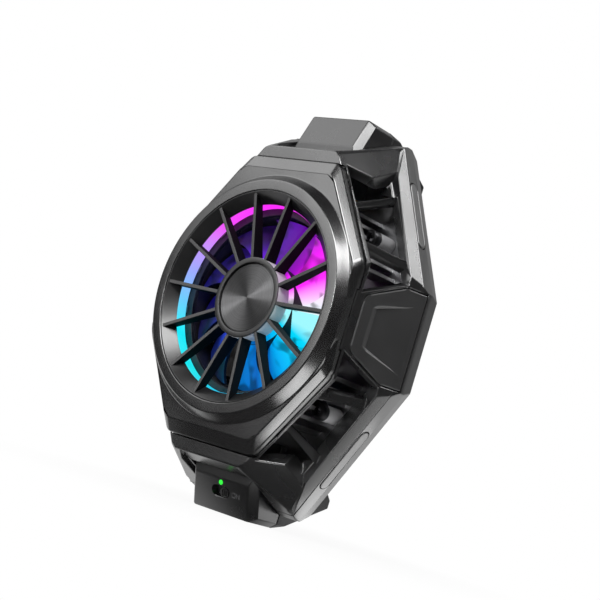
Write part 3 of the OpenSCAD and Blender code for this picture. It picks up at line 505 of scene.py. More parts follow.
# Rods and clips: two ground steel rods with chamfered ends, pressed into the upper jaw. A stamped
# clip at each lower end holds the return spring.
ROD_X, ROD_H, ROD_R, ROD_CUT = 7.0, 9.6, 1.25, 0.3
low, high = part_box("guide_rods")
bottom, top = low.z / MM, high.z / MM
ground = grained("ground_steel", (0.56, 0.57, 0.58), rough=0.2, grain=0.05, metallic=1.0, mottle=0.05,
                 stretch=(1, 1, 0.1))
profile = [(0, bottom), (ROD_R - ROD_CUT, bottom), (ROD_R, bottom + ROD_CUT), (ROD_R, top - ROD_CUT),
           (ROD_R - ROD_CUT, top), (0, top)]
# Tree that sets a pair of copies side by side
n, given = new_tree("pair", Apart="Float")
ends = n.add("GeometryNodeMeshLine", settings={"mode": "END_POINTS"}, Count=2,
             Start_Location=n.add("ShaderNodeCombineXYZ", X=n.maths("MULTIPLY", given["Apart"], -0.5)),
             Offset=n.add("ShaderNodeCombineXYZ", X=n.maths("MULTIPLY", given["Apart"], 0.5)))
copies = n.add("GeometryNodeInstanceOnPoints", Points=ends, Instance=given["Geometry"])
pair = close_tree(n, given, copies)
repeated(turned(profile, 32, ROD_H), "jaw_rods", "jaw", ["guide_rods"], "steel", ground, pair,
         Apart=2 * ROD_X * MM)
sprung = grained("spring_steel", (0.40, 0.41, 0.43), rough=0.28, grain=0.08, metallic=1.0, mottle=0.1)
CLIP_R, CLIP_IN = 1.95, ROD_R + 0.03
low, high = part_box("rod_clips")
bottom, top = low.z / MM, high.z / MM
profile = rounded([(CLIP_IN, bottom), (CLIP_R, bottom), (CLIP_R, top), (CLIP_IN, top)], 0.2)
repeated(turned(profile, 32, ROD_H), "spring_clips", "jaw", ["rod_clips"], "steel", sprung, pair,
         Apart=2 * ROD_X * MM)

# Return springs: two compression coils of round wire on the rods, which would shorten between the
# guide and the clips as the jaw is pulled out. Here they keep one length.
SPRING_LOW, SPRING_TOP, SPRING_R, SPRING_WIRE, SPRING_TURNS = -13.4, 25.6, 1.7, 0.5, 18
n, given = new_tree("coil", Radius="Float", Wire="Float", Length="Float", Turns="Float")
helix = n.add("GeometryNodeCurveSpiral", Resolution=28, Rotations=given["Turns"],
              Start_Radius=given["Radius"], End_Radius=given["Radius"], Height=given["Length"])
ring = n.add("GeometryNodeCurvePrimitiveCircle", Resolution=10,
             Radius=n.maths("MULTIPLY", given["Wire"], 0.5))
wire = n.add("GeometryNodeCurveToMesh", Curve=helix, Profile_Curve=ring, Fill_Caps=True)
coil = close_tree(n, given, n.add("GeometryNodeSetShadeSmooth", Geometry=wire))
for side, node in ((-1, "return_spring_left"), (1, "return_spring_right")):
    spring = repeated(bmesh.new(), node + "_coil", "base", [], "spring_steel", sprung, coil,
                      Radius=SPRING_R * MM, Wire=SPRING_WIRE * MM, Turns=float(SPRING_TURNS),
                      Length=(SPRING_TOP - SPRING_LOW - SPRING_WIRE) * MM)
    foot = Vector((side * ROD_X, -ROD_H, SPRING_LOW + SPRING_WIRE / 2)) * MM
    spring.data.transform(Matrix.Translation(foot))
    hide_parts(node)
    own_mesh(spring)

# Fan frame: the duct with the motor's base and arms in one dark moulding. Four screws hold it on
# the posts.
duct_plastic = grained("duct_plastic", (0.018, 0.018, 0.022), rough=0.4)
finish_piece(ease(skin_of("fan_frame"), 0.15, angle=60, least=1.5), "fan_duct", "base", ["fan_frame"],
             duct_plastic)

# Motor: stacked laminations with six copper windings stand round a bronze bearing; the ring magnet
# and the steel shaft are pressed into the rotor.
laminated, n = new_material("steel_laminations")
place = n.node("ShaderNodeSeparateXYZ", Vector=n.place()).outputs
layers = n.maths("SINE", n.maths("MULTIPLY", place["Y"], 2 * math.pi / (0.35 * MM)))
bump = n.add("ShaderNodeBump", Strength=0.5, Distance=0.05 * MM, Height=layers)
n.surface(
    Normal=bump, Metallic=1.0, Roughness=n.span(layers, -1, 1, 0.35, 0.5),
    Base_Color=n.ramp(n.span(layers, -1, 1, 0, 1), [(0, (0.08, 0.08, 0.09)), (1, (0.19, 0.19, 0.20))]))
finish_piece(skin_of("stator_core"), "stator_stack", "base", ["stator_core"], laminated)
copper = grained("enamelled_copper", (0.52, 0.17, 0.05), rough=0.3, grain=0.08, metallic=1.0)
COIL_IN, COIL_OUT, COIL_WIDE, COIL_LOW, COIL_HIGH = 4.1, 6.0, 0.81, 13.77, 16.43
COIL_WIRE, COIL_TURNS, COIL_STEPS, COIL_SIDES, COIL_SQUARE = 0.3, 6, 16, 6, 1.6
COIL_TALL, COIL_MIDDLE = (COIL_HIGH - COIL_LOW) / 2 - 0.02, (COIL_HIGH + COIL_LOW) / 2


def squared(share):
    """A sine that is cut off early, so that the coil is nearly square."""
    return max(-1, min(1, COIL_SQUARE * share))


bm = bmesh.new()
rows = []
steps = COIL_TURNS * COIL_STEPS
for i in range(steps + 1):
    a = 2 * math.pi * i / COIL_STEPS
    reach = COIL_IN + COIL_WIRE / 2 + (COIL_OUT - COIL_IN - COIL_WIRE) * i / steps
    rise = squared(math.sin(a)) * COIL_TALL + COIL_MIDDLE
    centre = Vector((reach, -rise, squared(math.cos(a)) * COIL_WIDE))
    outward = Vector((0, -math.sin(a), math.cos(a)))
    row = []
    for k in range(COIL_SIDES):
        b = 2 * math.pi * k / COIL_SIDES
        round_wire = Vector((math.cos(b), 0, 0)) + outward * math.sin(b)
        row.append(bm.verts.new((centre + COIL_WIRE / 2 * round_wire) * MM))
    rows.append(row)
for a, b in zip(rows, rows[1:]):
    for k in range(COIL_SIDES):
        m = (k + 1) % COIL_SIDES
        bm.faces.new((a[k], a[m], b[m], b[k]))
bm.faces.new(rows[0])
bm.faces.new(rows[-1][::-1])
bmesh.ops.recalc_face_normals(bm, faces=bm.faces)
# Tree that sets copies round the fan's axis
n, given = new_tree("round_axis", Count="Int", Turn="Float")
spots = n.add("GeometryNodePoints", Count=given["Count"])
index = n.add("GeometryNodeInputIndex")
share = n.maths("DIVIDE", n.maths("MULTIPLY", index, 2 * math.pi), given["Count"])
facing = n.add("ShaderNodeCombineXYZ", Y=n.maths("ADD", share, given["Turn"]))
round_axis = close_tree(n, given, n.add(
    "GeometryNodeInstanceOnPoints", Points=spots, Instance=given["Geometry"],
    Rotation=n.add("FunctionNodeEulerToRotation", Euler=facing)))
repeated(bm, "stator_windings", "base", ["stator_coils"], "copper_wire", copper, round_axis, Count=6,
         Turn=0.0)
ferrite = grained("ferrite", (0.022, 0.020, 0.019), rough=0.55, grain=0.3)
finish_piece(skin_of("rotor_magnet"), "rotor_ring_magnet", "fan", ["rotor_magnet"], ferrite)
finish_piece(skin_of("rotor_shaft"), "rotor_ground_shaft", "fan", ["rotor_shaft"], ground)
finish_piece(skin_of("motor_bearing"), "motor_sleeve", "base", ["motor_bearing"], bronze)

# Rotor: hub and nine wide swept blades in one moulding of translucent plastic, here near black. The colour
# that the lights round it cast on the blades is painted on as a glow: violet and blue to the left, magenta,
# white and cyan to the right.
HUB_R, HUB_LOW, HUB_TOP, BLADE_R, BLADES = 8.8, 13.3, 18.2, 18.2, 9


def angle_round_axis(n):
    """Share of a turn round the fan's axis, counted from the right, seen from the front."""
    place = n.node("ShaderNodeSeparateXYZ", Vector=n.place()).outputs
    turn = n.maths("ARCTAN2", place["Z"], place["X"])
    return n.maths("FRACT", n.maths("ADD", n.maths("DIVIDE", turn, 2 * math.pi), 1.0))


def away_from_axis(n):
    """Distance from the fan's axis, in metres."""
    place = n.node("ShaderNodeSeparateXYZ", Vector=n.place()).outputs
    return n.maths("SQRT", n.maths("ADD", n.maths("MULTIPLY", place["X"], place["X"]),
                                   n.maths("MULTIPLY", place["Z"], place["Z"])))


def mark_faces(bm, name, marked):
    """Stores 1 on the faces that marked() picks and 0 on the others, for a material to read."""
    layer = bm.faces.layers.float.new(name)
    bm.normal_update()
    for face in bm.faces:
        face[layer] = float(marked(face))


# Colour of the light painted on the blades, by share of a turn round the axis, counted from the right
ROTOR_PAINTED_LIGHT = [
    (0.000, (0.80, 0.96, 1.0)), (0.030, (0.96, 0.86, 1.0)), (0.055, (1.0, 0.45, 1.0)),
    (0.085, (1.0, 0.02, 1.0)), (0.135, (0.95, 0.01, 1.0)), (0.165, (0.35, 0.0, 0.55)),
    (0.20, (0.12, 0.0, 0.30)), (0.25, (0.09, 0.0, 0.42)), (0.31, (0.12, 0.0, 0.62)),
    (0.40, (0.07, 0.02, 0.62)), (0.49, (0.02, 0.01, 0.85)), (0.56, (0.02, 0.01, 0.30)),
    (0.63, (0.02, 0.08, 0.75)), (0.68, (0.01, 0.04, 0.25)), (0.73, (0.0, 0.25, 0.80)),
    (0.80, (0.0, 0.12, 0.50)), (0.86, (0.0, 0.45, 0.95)), (0.93, (0.0, 0.72, 1.0)),
    (0.965, (0.35, 0.95, 1.0))]
painted_light_plastic, n = new_material("blades_painted_light")
place = n.place()
cloud = n.add("ShaderNodeTexNoise", Vector=place, Scale=140.0, Detail=1.0, Distortion=1.2)
bump = n.add("ShaderNodeBump", Strength=0.05, Distance=0.05 * MM,
             Height=n.add("ShaderNodeTexNoise", Vector=place, Scale=3000.0))
# Painted light: the glow is strongest to the right and near the hub. It falls only on faces that look to the
# front, and the cloud breaks it into patches.
to_right = n.span(n.node("ShaderNodeSeparateXYZ", Vector=place).outputs["X"], -8 * MM, 3 * MM, 0, 1)
near_hub = n.span(away_from_axis(n), 11.5 * MM, 15.5 * MM, 1.0, 0.12)
reach = n.maths("MAXIMUM", to_right, near_hub)
front = n.add("ShaderNodeAttribute", "Fac", {"attribute_name": "front"})
strength = n.maths("MULTIPLY", n.maths("MULTIPLY", reach, front), n.span(cloud, 0.36, 0.52, 0.35, 1.0))
n.surface(
    Normal=bump, Roughness=n.span(cloud, 0.3, 0.7, 0.35, 0.5), IOR=1.3,
    Base_Color=n.ramp(cloud, [(0.3, (0.006, 0.006, 0.010)), (0.7, (0.012, 0.012, 0.018))]),
    Emission_Color=n.ramp(angle_round_axis(n), ROTOR_PAINTED_LIGHT), Emission_Strength=strength)
CUP_WALL, CUP_ROOF = 0.9, 1
profile = rounded([(0, HUB_TOP), (HUB_R, HUB_TOP), (HUB_R, HUB_LOW), (HUB_R - CUP_WALL, HUB_LOW),
                   (HUB_R - CUP_WALL, HUB_TOP - CUP_ROOF), (0, HUB_TOP - CUP_ROOF)], 0.4)
bm = turned(profile, 64)


def faces_front(face, least=0.35):
    """True where a face looks to the front or slants to it."""
    return face.normal.y < -least


mark_faces(bm, "front", faces_front)
finish_piece(bm, "rotor_cup", "fan", ["rotor"], painted_light_plastic)
# One blade: a cambered strip whose pitch eases from root to tip, swept forward at the tip. Its
# angles round the axis are in degrees.
BLADE_T, BLADE_ROOT, ALONG, ACROSS = 0.7, HUB_R - 0.3, 10, 10
CHORD_ROOT, CHORD_LOSS, LEAD, SWEEP, CAMBER = 41, 2, -10, 16, 0.55
BLADE_LOW, BLADE_RISE, BLADE_TOP = HUB_LOW + 0.5, HUB_TOP - HUB_LOW - 1.0, HUB_TOP - 0.45
rows = []
for i in range(ALONG + 1):
    u = i / ALONG
    r = BLADE_ROOT + (BLADE_R - BLADE_ROOT) * u
    chord = math.radians(CHORD_ROOT - CHORD_LOSS * u)
    lead = math.radians(LEAD + SWEEP * u * u)
    row = []
    for k in range(ACROSS + 1):
        v = k / ACROSS
        a = lead + chord * (v - 0.5)
        h = BLADE_LOW + BLADE_RISE * v + CAMBER * math.sin(math.pi * v)
        row.append(Vector((r * math.cos(a), -min(h, BLADE_TOP), r * math.sin(a))))
    rows.append(row)
bm = bmesh.new()
rims = []
for side in (-1, 1):
    half = Vector((0, side * BLADE_T / 2, 0))
    grid = [[bm.verts.new((p + half) * MM) for p in row] for row in rows]
    for i in range(ALONG):
        for k in range(ACROSS):
            bm.faces.new((grid[i][k], grid[i + 1][k], grid[i + 1][k + 1], grid[i][k + 1]))
    rims.append([row[0] for row in grid] + grid[ALONG][1:] + [row[ACROSS] for row in grid[-2::-1]]
                + grid[0][ACROSS - 1:0:-1])
near, away = rims
for i in range(len(near)):
    j = (i + 1) % len(near)
    bm.faces.new((near[i], near[j], away[j], away[i]))
bmesh.ops.recalc_face_normals(bm, faces=bm.faces)
mark_faces(bm, "front", faces_front)
repeated(bm, "rotor_blades", "fan", ["rotor"], "blade_plastic", painted_light_plastic, round_axis, sharp=50, Count=BLADES,
         Turn=0.1)

# Light board: a ring-shaped circuit board with a black solder mask, held under the light ring.
# Fourteen lamps are soldered on its front.
BOARD_IN, BOARD_OUT, BOARD_LOW, BOARD_TOP = 18.75, 22.2, 18.2, 19.0
LAMP_COUNT, LAMP_R = 14, 20.7
solder_mask, n = new_material("black_solder_mask")
place = n.place()
flat = n.add("ShaderNodeMapping", Vector=place, Scale=(1, 0, 1))
tracks = n.add("ShaderNodeTexVoronoi", settings={"distance": "MANHATTAN", "feature": "F1"}, Vector=flat,
               Scale=1 / (1.6 * MM))
raised = n.span(tracks, 0.35, 0.42, 0, 1)
bump = n.add("ShaderNodeBump", Strength=0.4, Distance=0.04 * MM, Height=raised)
n.surface(
    Normal=bump, Roughness=n.span(tracks, 0.3, 0.6, 0.3, 0.45), IOR=1.5,
    Base_Color=n.ramp(raised, [(0, (0.008, 0.010, 0.012)), (1, (0.018, 0.022, 0.026))]))
profile = rounded([(BOARD_IN, BOARD_LOW), (BOARD_OUT, BOARD_LOW), (BOARD_OUT, BOARD_TOP),
                   (BOARD_IN, BOARD_TOP)], 0.1)
finish_piece(turned(profile, 96), "light_board", "base", ["led_board"], solder_mask)
RING_GLOW = [
    (0.00, (0.85, 0.25, 1.0)), (0.12, (1.0, 0.04, 1.0)), (0.27, (1.0, 0.02, 1.0)),
    (0.37, (0.94, 0.07, 1.0)), (0.42, (0.60, 0.28, 1.0)), (0.47, (0.34, 0.40, 1.0)),
    (0.52, (0.16, 0.60, 1.0)), (0.57, (0.01, 0.85, 1.0)), (0.66, (0.0, 0.80, 0.85)),
    (0.75, (0.0, 0.50, 0.80)), (0.90, (0.05, 0.60, 1.0))]
lit, n = new_material("lit_lamp")
cloud = n.add("ShaderNodeTexNoise", Vector=n.place(), Scale=900.0)
n.surface(
    Roughness=n.span(cloud, 0.3, 0.7, 0.3, 0.4), Emission_Strength=0.1,
    Base_Color=n.ramp(cloud, [(0.3, (0.05, 0.05, 0.06)), (0.7, (0.08, 0.08, 0.10))]),
    Emission_Color=n.ramp(angle_round_axis(n), RING_GLOW))
LAMP_DEEP, LAMP_WIDE, LAMP_UP = 0.6, 0.8, 0.5
bm = bmesh.new()
block(bm, (LAMP_R - LAMP_DEEP, -BOARD_TOP - LAMP_UP, -LAMP_WIDE),
      (LAMP_R + LAMP_DEEP, -BOARD_TOP, LAMP_WIDE))
ease(bm, 0.12, segments=2, least=0.3)
repeated(bm, "board_lamps", "base", ["leds"], "lamp", lit, round_axis, Count=LAMP_COUNT,
         Turn=math.pi / LAMP_COUNT)

# Light ring: a band of frosted clear acrylic, snapped under the grille's hoop. It glows magenta at
# the top and fades round through lilac and light blue to cyan at the lower left.
LIGHT_R, LIGHT_T, LIGHT_LOW, LIGHT_TOP = 20.0, 1.4, 19.5, 22.0
frosted, n = new_material("frosted_light_ring")
place = n.place()
frost = n.add("ShaderNodeTexNoise", Vector=place, Scale=2500.0, Detail=3.0)
bump = n.add("ShaderNodeBump", Strength=0.2, Distance=0.05 * MM, Height=frost)
n.surface(
    Normal=bump, Roughness=n.span(frost, 0.3, 0.7, 0.45, 0.6), IOR=1.2,
    Base_Color=n.ramp(frost, [(0.3, (0.03, 0.03, 0.035)), (0.7, (0.05, 0.05, 0.055))]),
    Emission_Color=n.ramp(angle_round_axis(n), RING_GLOW),
    Emission_Strength=n.span(away_from_axis(n), (LIGHT_R + 0.4) * MM, (LIGHT_R + 1.2) * MM, 1.0, 0.0))
profile = rounded([(LIGHT_R, LIGHT_LOW), (LIGHT_R + LIGHT_T, LIGHT_LOW), (LIGHT_R + LIGHT_T, LIGHT_TOP),
                   (LIGHT_R, LIGHT_TOP)], 0.2)
finish_piece(turned(profile, 128), "light_ring_acrylic", "base", ["light_ring"], frosted)

# Rear cover: a shallow black tray moulded with a square hole for the cold plate and a slot for each
# jaw. Four screws hold it to the housing.
BLACK = (0.009, 0.009, 0.0098)
cover_plastic = grained("cover_plastic", BLACK, rough=0.30, ior=1.9, gloss=1.0)
finish_piece(ease(skin_of("rear_cover"), 0.22, least=1.2), "rear_cover_tray", "base", ["rear_cover"],
             cover_plastic, sharp=20, flat=True)

# Lower jaw: a hollow black block with a raked front, fixed to the heatsink by its tongue. It holds
# the switch, its lamp and the charging socket.
jaw_plastic = grained("jaw_plastic", BLACK, rough=0.29, grain=0.14, ior=1.7, gloss=1.0)
finish_piece(ease(skin_of("lower_jaw"), 0.28, angle=12, least=1.2), "lower_jaw_shell", "base", ["lower_jaw"],
             jaw_plastic, sharp=20, flat=True)

# Hooks: feet of soft black rubber, moulded over the back of both jaws. They grip the phone's
# edges, so their faces are matt.
rubber = grained("grip_rubber", (0.010, 0.010, 0.011), rough=0.5, grain=0.25, grain_size=0.35, gloss=0.6)
for end, body in (("lower", "base"), ("upper", "jaw")):
    node = end + "_jaw_hook"
    finish_piece(ease(skin_of(node), 0.3, least=0.8), end + "_hook", body, [node], rubber)

# Circuit board, switch body and charging socket behind the lower jaw's face: a small green board,
# a grey switch case and a folded steel shell with its tongue.
fibre = grained("green_board", (0.01, 0.06, 0.03), rough=0.35, grain=0.1)
finish_piece(skin_of("control_board"), "switch_board", "base", ["control_board"], fibre)
grey_case = grained("grey_case", (0.10, 0.10, 0.11), rough=0.4)
finish_piece(ease(skin_of("switch_body"), 0.15, least=0.5), "switch_case", "base", ["switch_body"],
             grey_case)
plated = grained("plated_steel", (0.60, 0.60, 0.61), rough=0.25, grain=0.06, metallic=1.0, mottle=0.05)
finish_piece(skin_of("usb_socket"), "socket_shell", "base", ["usb_socket"], plated)

# Switch: a black knob with three ribs that slides in the slot. The plain mark for its on end is
# printed on the jaw beside it, and a green light pipe stands above it.
knob_plastic = grained("knob_plastic", (0.02, 0.02, 0.021), rough=0.35)
finish_piece(ease(skin_of("switch_slider"), 0.08, angle=60, least=0.3), "switch_knob", "switch",
             ["switch_slider"], knob_plastic)
printed = grained("printed_mark", (0.12, 0.12, 0.125), rough=0.5, grain=0.05)
JAW_FRONT, JAW_FOLD, JAW_TILT = 14.0, 36.6, math.radians(20.19)
MARK_X, MARK_DOWN, MARK_SIZE, INK = 4.5, 2.8, 1.55, 0.02
letters = bpy.data.curves.new("on_letters", "FONT")
letters.body, letters.size, letters.extrude = "ON", MARK_SIZE * MM, INK * MM
letters.align_x = letters.align_y = "CENTER"
drawn = bpy.data.objects.new("on_letters", letters)
scene.collection.objects.link(drawn)
bpy.context.view_layer.update()
mark = bpy.data.objects.new("switch_mark", bpy.data.meshes.new_from_object(
    drawn.evaluated_get(bpy.context.evaluated_depsgraph_get())))
bpy.data.objects.remove(drawn)
scene.collection.objects.link(mark)
back, down = math.sin(JAW_TILT), math.cos(JAW_TILT)
seat = Vector((MARK_X, MARK_DOWN * back - JAW_FRONT, -JAW_FOLD - MARK_DOWN * down)) * MM
mark.data.transform(Matrix(((1, 0, 0, seat.x), (0, -back, -down, seat.y), (0, down, -back, seat.z),
                            (0, 0, 0, 1))))
settle(mark, "base", [], printed)
green, n = new_material("green_light_pipe")
cloud = n.add("ShaderNodeTexNoise", Vector=n.place(), Scale=1500.0)
n.surface(
    Roughness=0.25, Emission_Color=(0.03, 0.85, 0.05, 1), Emission_Strength=1.0,
    Base_Color=n.ramp(cloud, [(0.3, (0.02, 0.5, 0.03)), (0.7, (0.03, 0.6, 0.04))]))
finish_piece(skin_of("status_light"), "status_light_pipe", "base", ["status_light"], green)

# Housing: the tapered black body, moulded with a sunken surround at each jaw, four open vents with
# two struts each and a shoulder at each side. The bezel snaps on its front rim.
body_plastic = grained("body_plastic", BLACK, rough=0.27, ior=1.95, gloss=1.0)
CREASE_ROUND, CREASE_MOST, CREASE_END = 1.1, math.radians(28), 38.5
CORNER_ROUND, EDGE_ROUND = 0.9, 0.25


def is_crease(edge):
    """True for the blunt folds that run to the body's upper or lower end."""
    return edge.calc_face_angle() < CREASE_MOST and any(abs(v.co.z) > CREASE_END * MM for v in edge.verts)


bm = skin_of("housing")
ease(bm, CREASE_ROUND, angle=20, least=5, segments=6, where=is_crease)
ease(bm, CORNER_ROUND, least=12, where=is_corner, segments=4)
ease(bm, EDGE_ROUND, least=0.9)
finish_piece(bm, "housing_shell", "base", ["housing"], body_plastic, sharp=20, flat=True)

# Side panels: two inset covers of matt plastic with a wedge-shaped recess, clipped into the
# housing's sides.
panel_plastic = grained("panel_plastic", (0.015, 0.015, 0.016), rough=0.40, grain=0.12, ior=2.0, gloss=1.0)
for side in ("left", "right"):
    node = "side_panel_" + side
    bm = ease(skin_of(node), 0.3, angle=20, least=0.6, where=lambda e: e.is_convex)
    finish_piece(bm, "panel_" + side, "base", [node], panel_plastic, sharp=20, flat=True)

# Corner pads: four round-ended strips of black rubber, pressed into grooves in the rear cover's
# slanted edges.
pad_rubber = grained("pad_rubber", (0.016, 0.016, 0.017), rough=0.38, grain=0.2, ior=2.0, gloss=1.0)
for corner in ("upper_left", "upper_right", "lower_left", "lower_right"):
    node = "corner_pad_" + corner
    finish_piece(ease(skin_of(node), 0.2, angle=60, least=0), "edge_pad_" + corner, "base", [node],
                 pad_rubber)

# Screws: small black self-tapping screws with a pan head and a cross recess. Four hold the cover
# from behind, four the fan's frame on its posts, two the guide and two the lower jaw's tongue.
SCREW_R, HEAD_R, HEAD_H, TURNS = 0.9, 1.7, 0.9, 24
SCREW_POINT, SCREW_TIP = 0.6, 0.3
HEAD_ROUND = [(0.35, 0.0), (0.1, 0.15), (0.0, 0.4)]
CROSS_WIDE, CROSS_ARM, CROSS_DEEP, CROSS_TAPER = 0.2, 0.95, 0.5, 0.7
blackened = grained("blackened_steel", (0.10, 0.10, 0.105), rough=0.32, grain=0.06, metallic=1.0,
                    mottle=0.05)


def cross_screw(length, depth=0.0, height=0.0, to_front=True):
    """One screw with the seat of its head at the given depth, and its tip length behind that."""
    bm = bmesh.new()
    way = 1 if to_front else -1

    def spot(x, h, z):
        return bm.verts.new(Vector((x, depth - way * h, height + z)) * MM)

    def ring(r, h):
        turn = [2 * math.pi * i / TURNS for i in range(TURNS)]
        return [spot(r * math.cos(a), h, r * math.sin(a)) for a in turn]

    rows = [ring(HEAD_R - inset, HEAD_H - drop) for inset, drop in HEAD_ROUND]
    rows += [ring(HEAD_R, 0), ring(SCREW_R, 0), ring(SCREW_R, SCREW_POINT - length), ring(SCREW_TIP, -length)]
    for a, b in zip(rows, rows[1:]):
        for i in range(TURNS):
            j = (i + 1) % TURNS
            bm.faces.new((a[i], a[j], b[j], b[i]))
    bm.faces.new(rows[-1])
    w, arm = CROSS_WIDE, CROSS_ARM
    cross = [(w, w), (arm, w), (arm, -w), (w, -w), (w, -arm), (-w, -arm), (-w, -w), (-arm, -w), (-arm, w),
             (-w, w), (-w, arm), (w, arm)]
    top = [spot(x, HEAD_H, z) for x, z in cross]
    floor = [spot(CROSS_TAPER * x, HEAD_H - CROSS_DEEP, CROSS_TAPER * z) for x, z in cross]
    loops = [bm.edges.get((rows[0][i - 1], rows[0][i])) for i in range(TURNS)]
    for i in range(len(cross)):
        bm.faces.new((top[i - 1], top[i], floor[i], floor[i - 1]))
        loops.append(bm.edges.get((top[i - 1], top[i])))
    bm.faces.new(floor)
    bmesh.ops.triangle_fill(bm, edges=loops, use_beauty=True)
    bmesh.ops.recalc_face_normals(bm, faces=bm.faces)
    return bm


for node, to_front in (("cover_screws", False), ("fan_screws", True)):
    low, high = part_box(node)
    seat = low.y + HEAD_H * MM if to_front else high.y - HEAD_H * MM
    one = cross_screw((high.y - low.y) / MM - HEAD_H, to_front=to_front)
    repeated(one, node + "_set", "base", [node], "steel", blackened, on_grid, Columns=2, Rows=2,
             Wide=high.x - low.x - 2 * HEAD_R * MM, High=high.z - low.z - 2 * HEAD_R * MM, Place=(0, seat, 0))
for node in ("guide_screws", "jaw_screws"):
    low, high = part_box(node)
    one = cross_screw((high.y - low.y) / MM - HEAD_H, low.y / MM + HEAD_H, (low.z + high.z) / 2 / MM)
    repeated(one, node + "_set", "base", [node], "steel", blackened, pair,
             Apart=high.x - low.x - 2 * HEAD_R * MM)

# Grille: hoop, hub and fourteen deep spokes in one black moulding. The hoop's inner wall is a cone
# that leads down to the light ring.
HOOP_R, HOOP_LIP, HOOP_TOP, HOOP_SEAT = 22.45, 22.25, 24.45, 22.0
FLANGE_IN, FLANGE_OUT, FLANGE_BACK = 21.45, 23.45, 21.2
GRILLE_HUB, HUB_FRONT, HUB_BACK, CAP_LOW, CAP_SEAT = 8.5, 22.9, 19.3, 21.7, 7.4
SPOKES, SPOKE_T, SPOKE_ROOT = 14, 0.75, GRILLE_HUB - 0.6
grille_plastic = grained("grille_plastic", (0.005, 0.005, 0.0055), rough=0.33, ior=1.65, gloss=1.0)
profile = rounded([(LIGHT_R, HOOP_SEAT), (HOOP_LIP, HOOP_TOP), (HOOP_R, HOOP_TOP), (HOOP_R, HOOP_SEAT),
                   (FLANGE_OUT, HOOP_SEAT), (FLANGE_OUT, FLANGE_BACK), (FLANGE_IN, FLANGE_BACK),
                   (FLANGE_IN, HOOP_SEAT)], 0.1)
finish_piece(turned(profile, 160), "grille_hoop", "base", ["front_grille"], grille_plastic)
profile = rounded([(0, CAP_LOW), (CAP_SEAT, CAP_LOW), (CAP_SEAT, HUB_FRONT), (GRILLE_HUB, HUB_FRONT),
                   (GRILLE_HUB, HUB_BACK), (0, HUB_BACK)], 0.1)
finish_piece(turned(profile, 96), "grille_hub", "base", ["front_grille"], grille_plastic)
pale_plastic = grained("pale_collar", (0.72, 0.72, 0.73), rough=0.5, grain=0.06, mottle=0.04, gloss=0.5)
COLLAR_IN, COLLAR_R = GRILLE_HUB - 0.2, GRILLE_HUB + 0.04
COLLAR_LOW, COLLAR_TOP = HUB_BACK + 0.1, HUB_FRONT - 0.35
profile = rounded([(COLLAR_IN, COLLAR_LOW), (COLLAR_R, COLLAR_LOW), (COLLAR_R, COLLAR_TOP),
                   (COLLAR_IN, COLLAR_TOP)], 0.03)
finish_piece(turned(profile, 96), "grille_collar", "base", ["front_grille"], pale_plastic)
bm = bmesh.new()
# One spoke's side: from its root in the hub out to the hoop's lip, and back along the light ring
outline = [(SPOKE_ROOT, HUB_FRONT - 0.25), (HOOP_LIP - 0.2, HOOP_TOP - 0.2),
           (LIGHT_R + 0.25, HOOP_SEAT - 0.05), (LIGHT_R - 0.05, HOOP_SEAT - 0.05),
           (SPOKE_ROOT, HUB_BACK + 0.2)]
sides = [[bm.verts.new(Vector((r, -h, t)) * MM) for r, h in outline] for t in (-SPOKE_T / 2, SPOKE_T / 2)]
bm.faces.new(sides[0])
bm.faces.new(sides[1][::-1])
for i in range(len(outline)):
    j = (i + 1) % len(outline)
    bm.faces.new((sides[0][i], sides[0][j], sides[1][j], sides[1][i]))
bmesh.ops.recalc_face_normals(bm, faces=bm.faces)
ease(bm, 0.1, angle=40, least=1.5)
mark_faces(bm, "side", lambda f: abs(f.normal.z) > 0.8)
# Painted shade: the spokes' sides are coloured near black and their fronts a lighter grey. The sides are also
# rougher.
spoke_painted_shade, n = new_material("spoke_painted_shade")
side = n.add("ShaderNodeAttribute", "Fac", {"attribute_name": "side"})
fine = n.add("ShaderNodeTexNoise", Vector=n.place(), Scale=1 / (0.28 * MM),
             Detail=2.0)
n.surface(
    IOR=1.3, Normal=n.add("ShaderNodeBump", Strength=0.1, Distance=0.02 * MM, Height=fine),
    Base_Color=n.ramp(side, [(0, (0.085, 0.085, 0.086)), (1, (0.001, 0.001, 0.0012))]),
    Roughness=n.maths("ADD", n.span(side, 0, 1, 0.24, 0.75), n.span(fine, 0.3, 0.7, -0.03, 0.03)))
repeated(bm, "grille_spokes", "base", ["front_grille"], "grille_plastic", spoke_painted_shade, round_axis,
         Count=SPOKES, Turn=0.0)

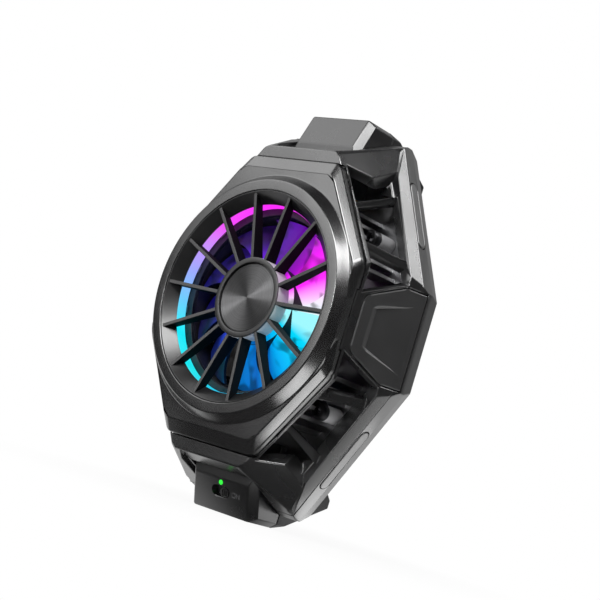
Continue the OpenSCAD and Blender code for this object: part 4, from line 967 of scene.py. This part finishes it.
# Hub cap: a disc of spun dark metal, pressed into the hub. Fine turning marks spread the light
# into two fans.
CAP_R, CAP_TOP, CAP_BEVEL, CAP_DISH = 7.35, 22.5, (0.3, 0.2), 0.02
profile = rounded([(0, CAP_LOW), (CAP_R, CAP_LOW), (CAP_R, CAP_TOP - CAP_BEVEL[1]),
                   (CAP_R - CAP_BEVEL[0], CAP_TOP), (0, CAP_TOP - CAP_DISH)], 0.05)
spun, n = new_material("spun_metal")
marks = n.add("ShaderNodeTexNoise", settings={"noise_dimensions": "1D"}, W=away_from_axis(n),
              Scale=1 / (0.12 * MM), Detail=2.0)
tangent = n.add("ShaderNodeTangent", settings={"direction_type": "RADIAL", "axis": "Y"})
n.surface(
    Metallic=1.0, Anisotropic=0.95, Anisotropic_Rotation=0.25, Tangent=tangent,
    Roughness=n.span(marks, 0.3, 0.7, 0.38, 0.48),
    Base_Color=n.ramp(marks, [(0.3, (0.16, 0.16, 0.163)), (0.7, (0.26, 0.26, 0.264))]))
finish_piece(turned(profile, 128), "hub_disc", "base", ["hub_cap"], spun)

# Bezel: the octagonal front, moulded with a wide chamfer and a raised ring whose foot flares out.
# It snaps over the housing's rim and traps the grille.
BEZEL_CORNER, BEZEL_EDGE, NOTCH_CORNER, NOTCH_EDGE = 1.2, 0.22, 9, 10
bezel_plastic = grained("bezel_plastic", (0.006, 0.006, 0.0065), rough=0.24, grain=0.05, ior=1.95, gloss=1.0)


def clear_of_middle(edge, least):
    """True above and below the notches in the bezel's sides."""
    return all(abs(v.co.z) > least * MM for v in edge.verts)


bm = skin_of("front_bezel", most=40)
ease(bm, BEZEL_CORNER, least=1, segments=3,
     where=lambda e: is_corner(e) and clear_of_middle(e, NOTCH_CORNER))
ease(bm, BEZEL_EDGE, angle=22, least=0.3, segments=3,
     where=lambda e: e.calc_length() > MM or clear_of_middle(e, NOTCH_EDGE))
finish_piece(bm, "bezel_moulding", "base", ["front_bezel"], bezel_plastic)

# Upper jaw: a solid grey-black plastic block with a raked front, pressed on the two rods. It slides
# with them.
finish_piece(ease(skin_of("upper_jaw"), 0.3, angle=12, least=1.0), "upper_jaw_block", "jaw", ["upper_jaw"],
             jaw_plastic, sharp=20, flat=True)
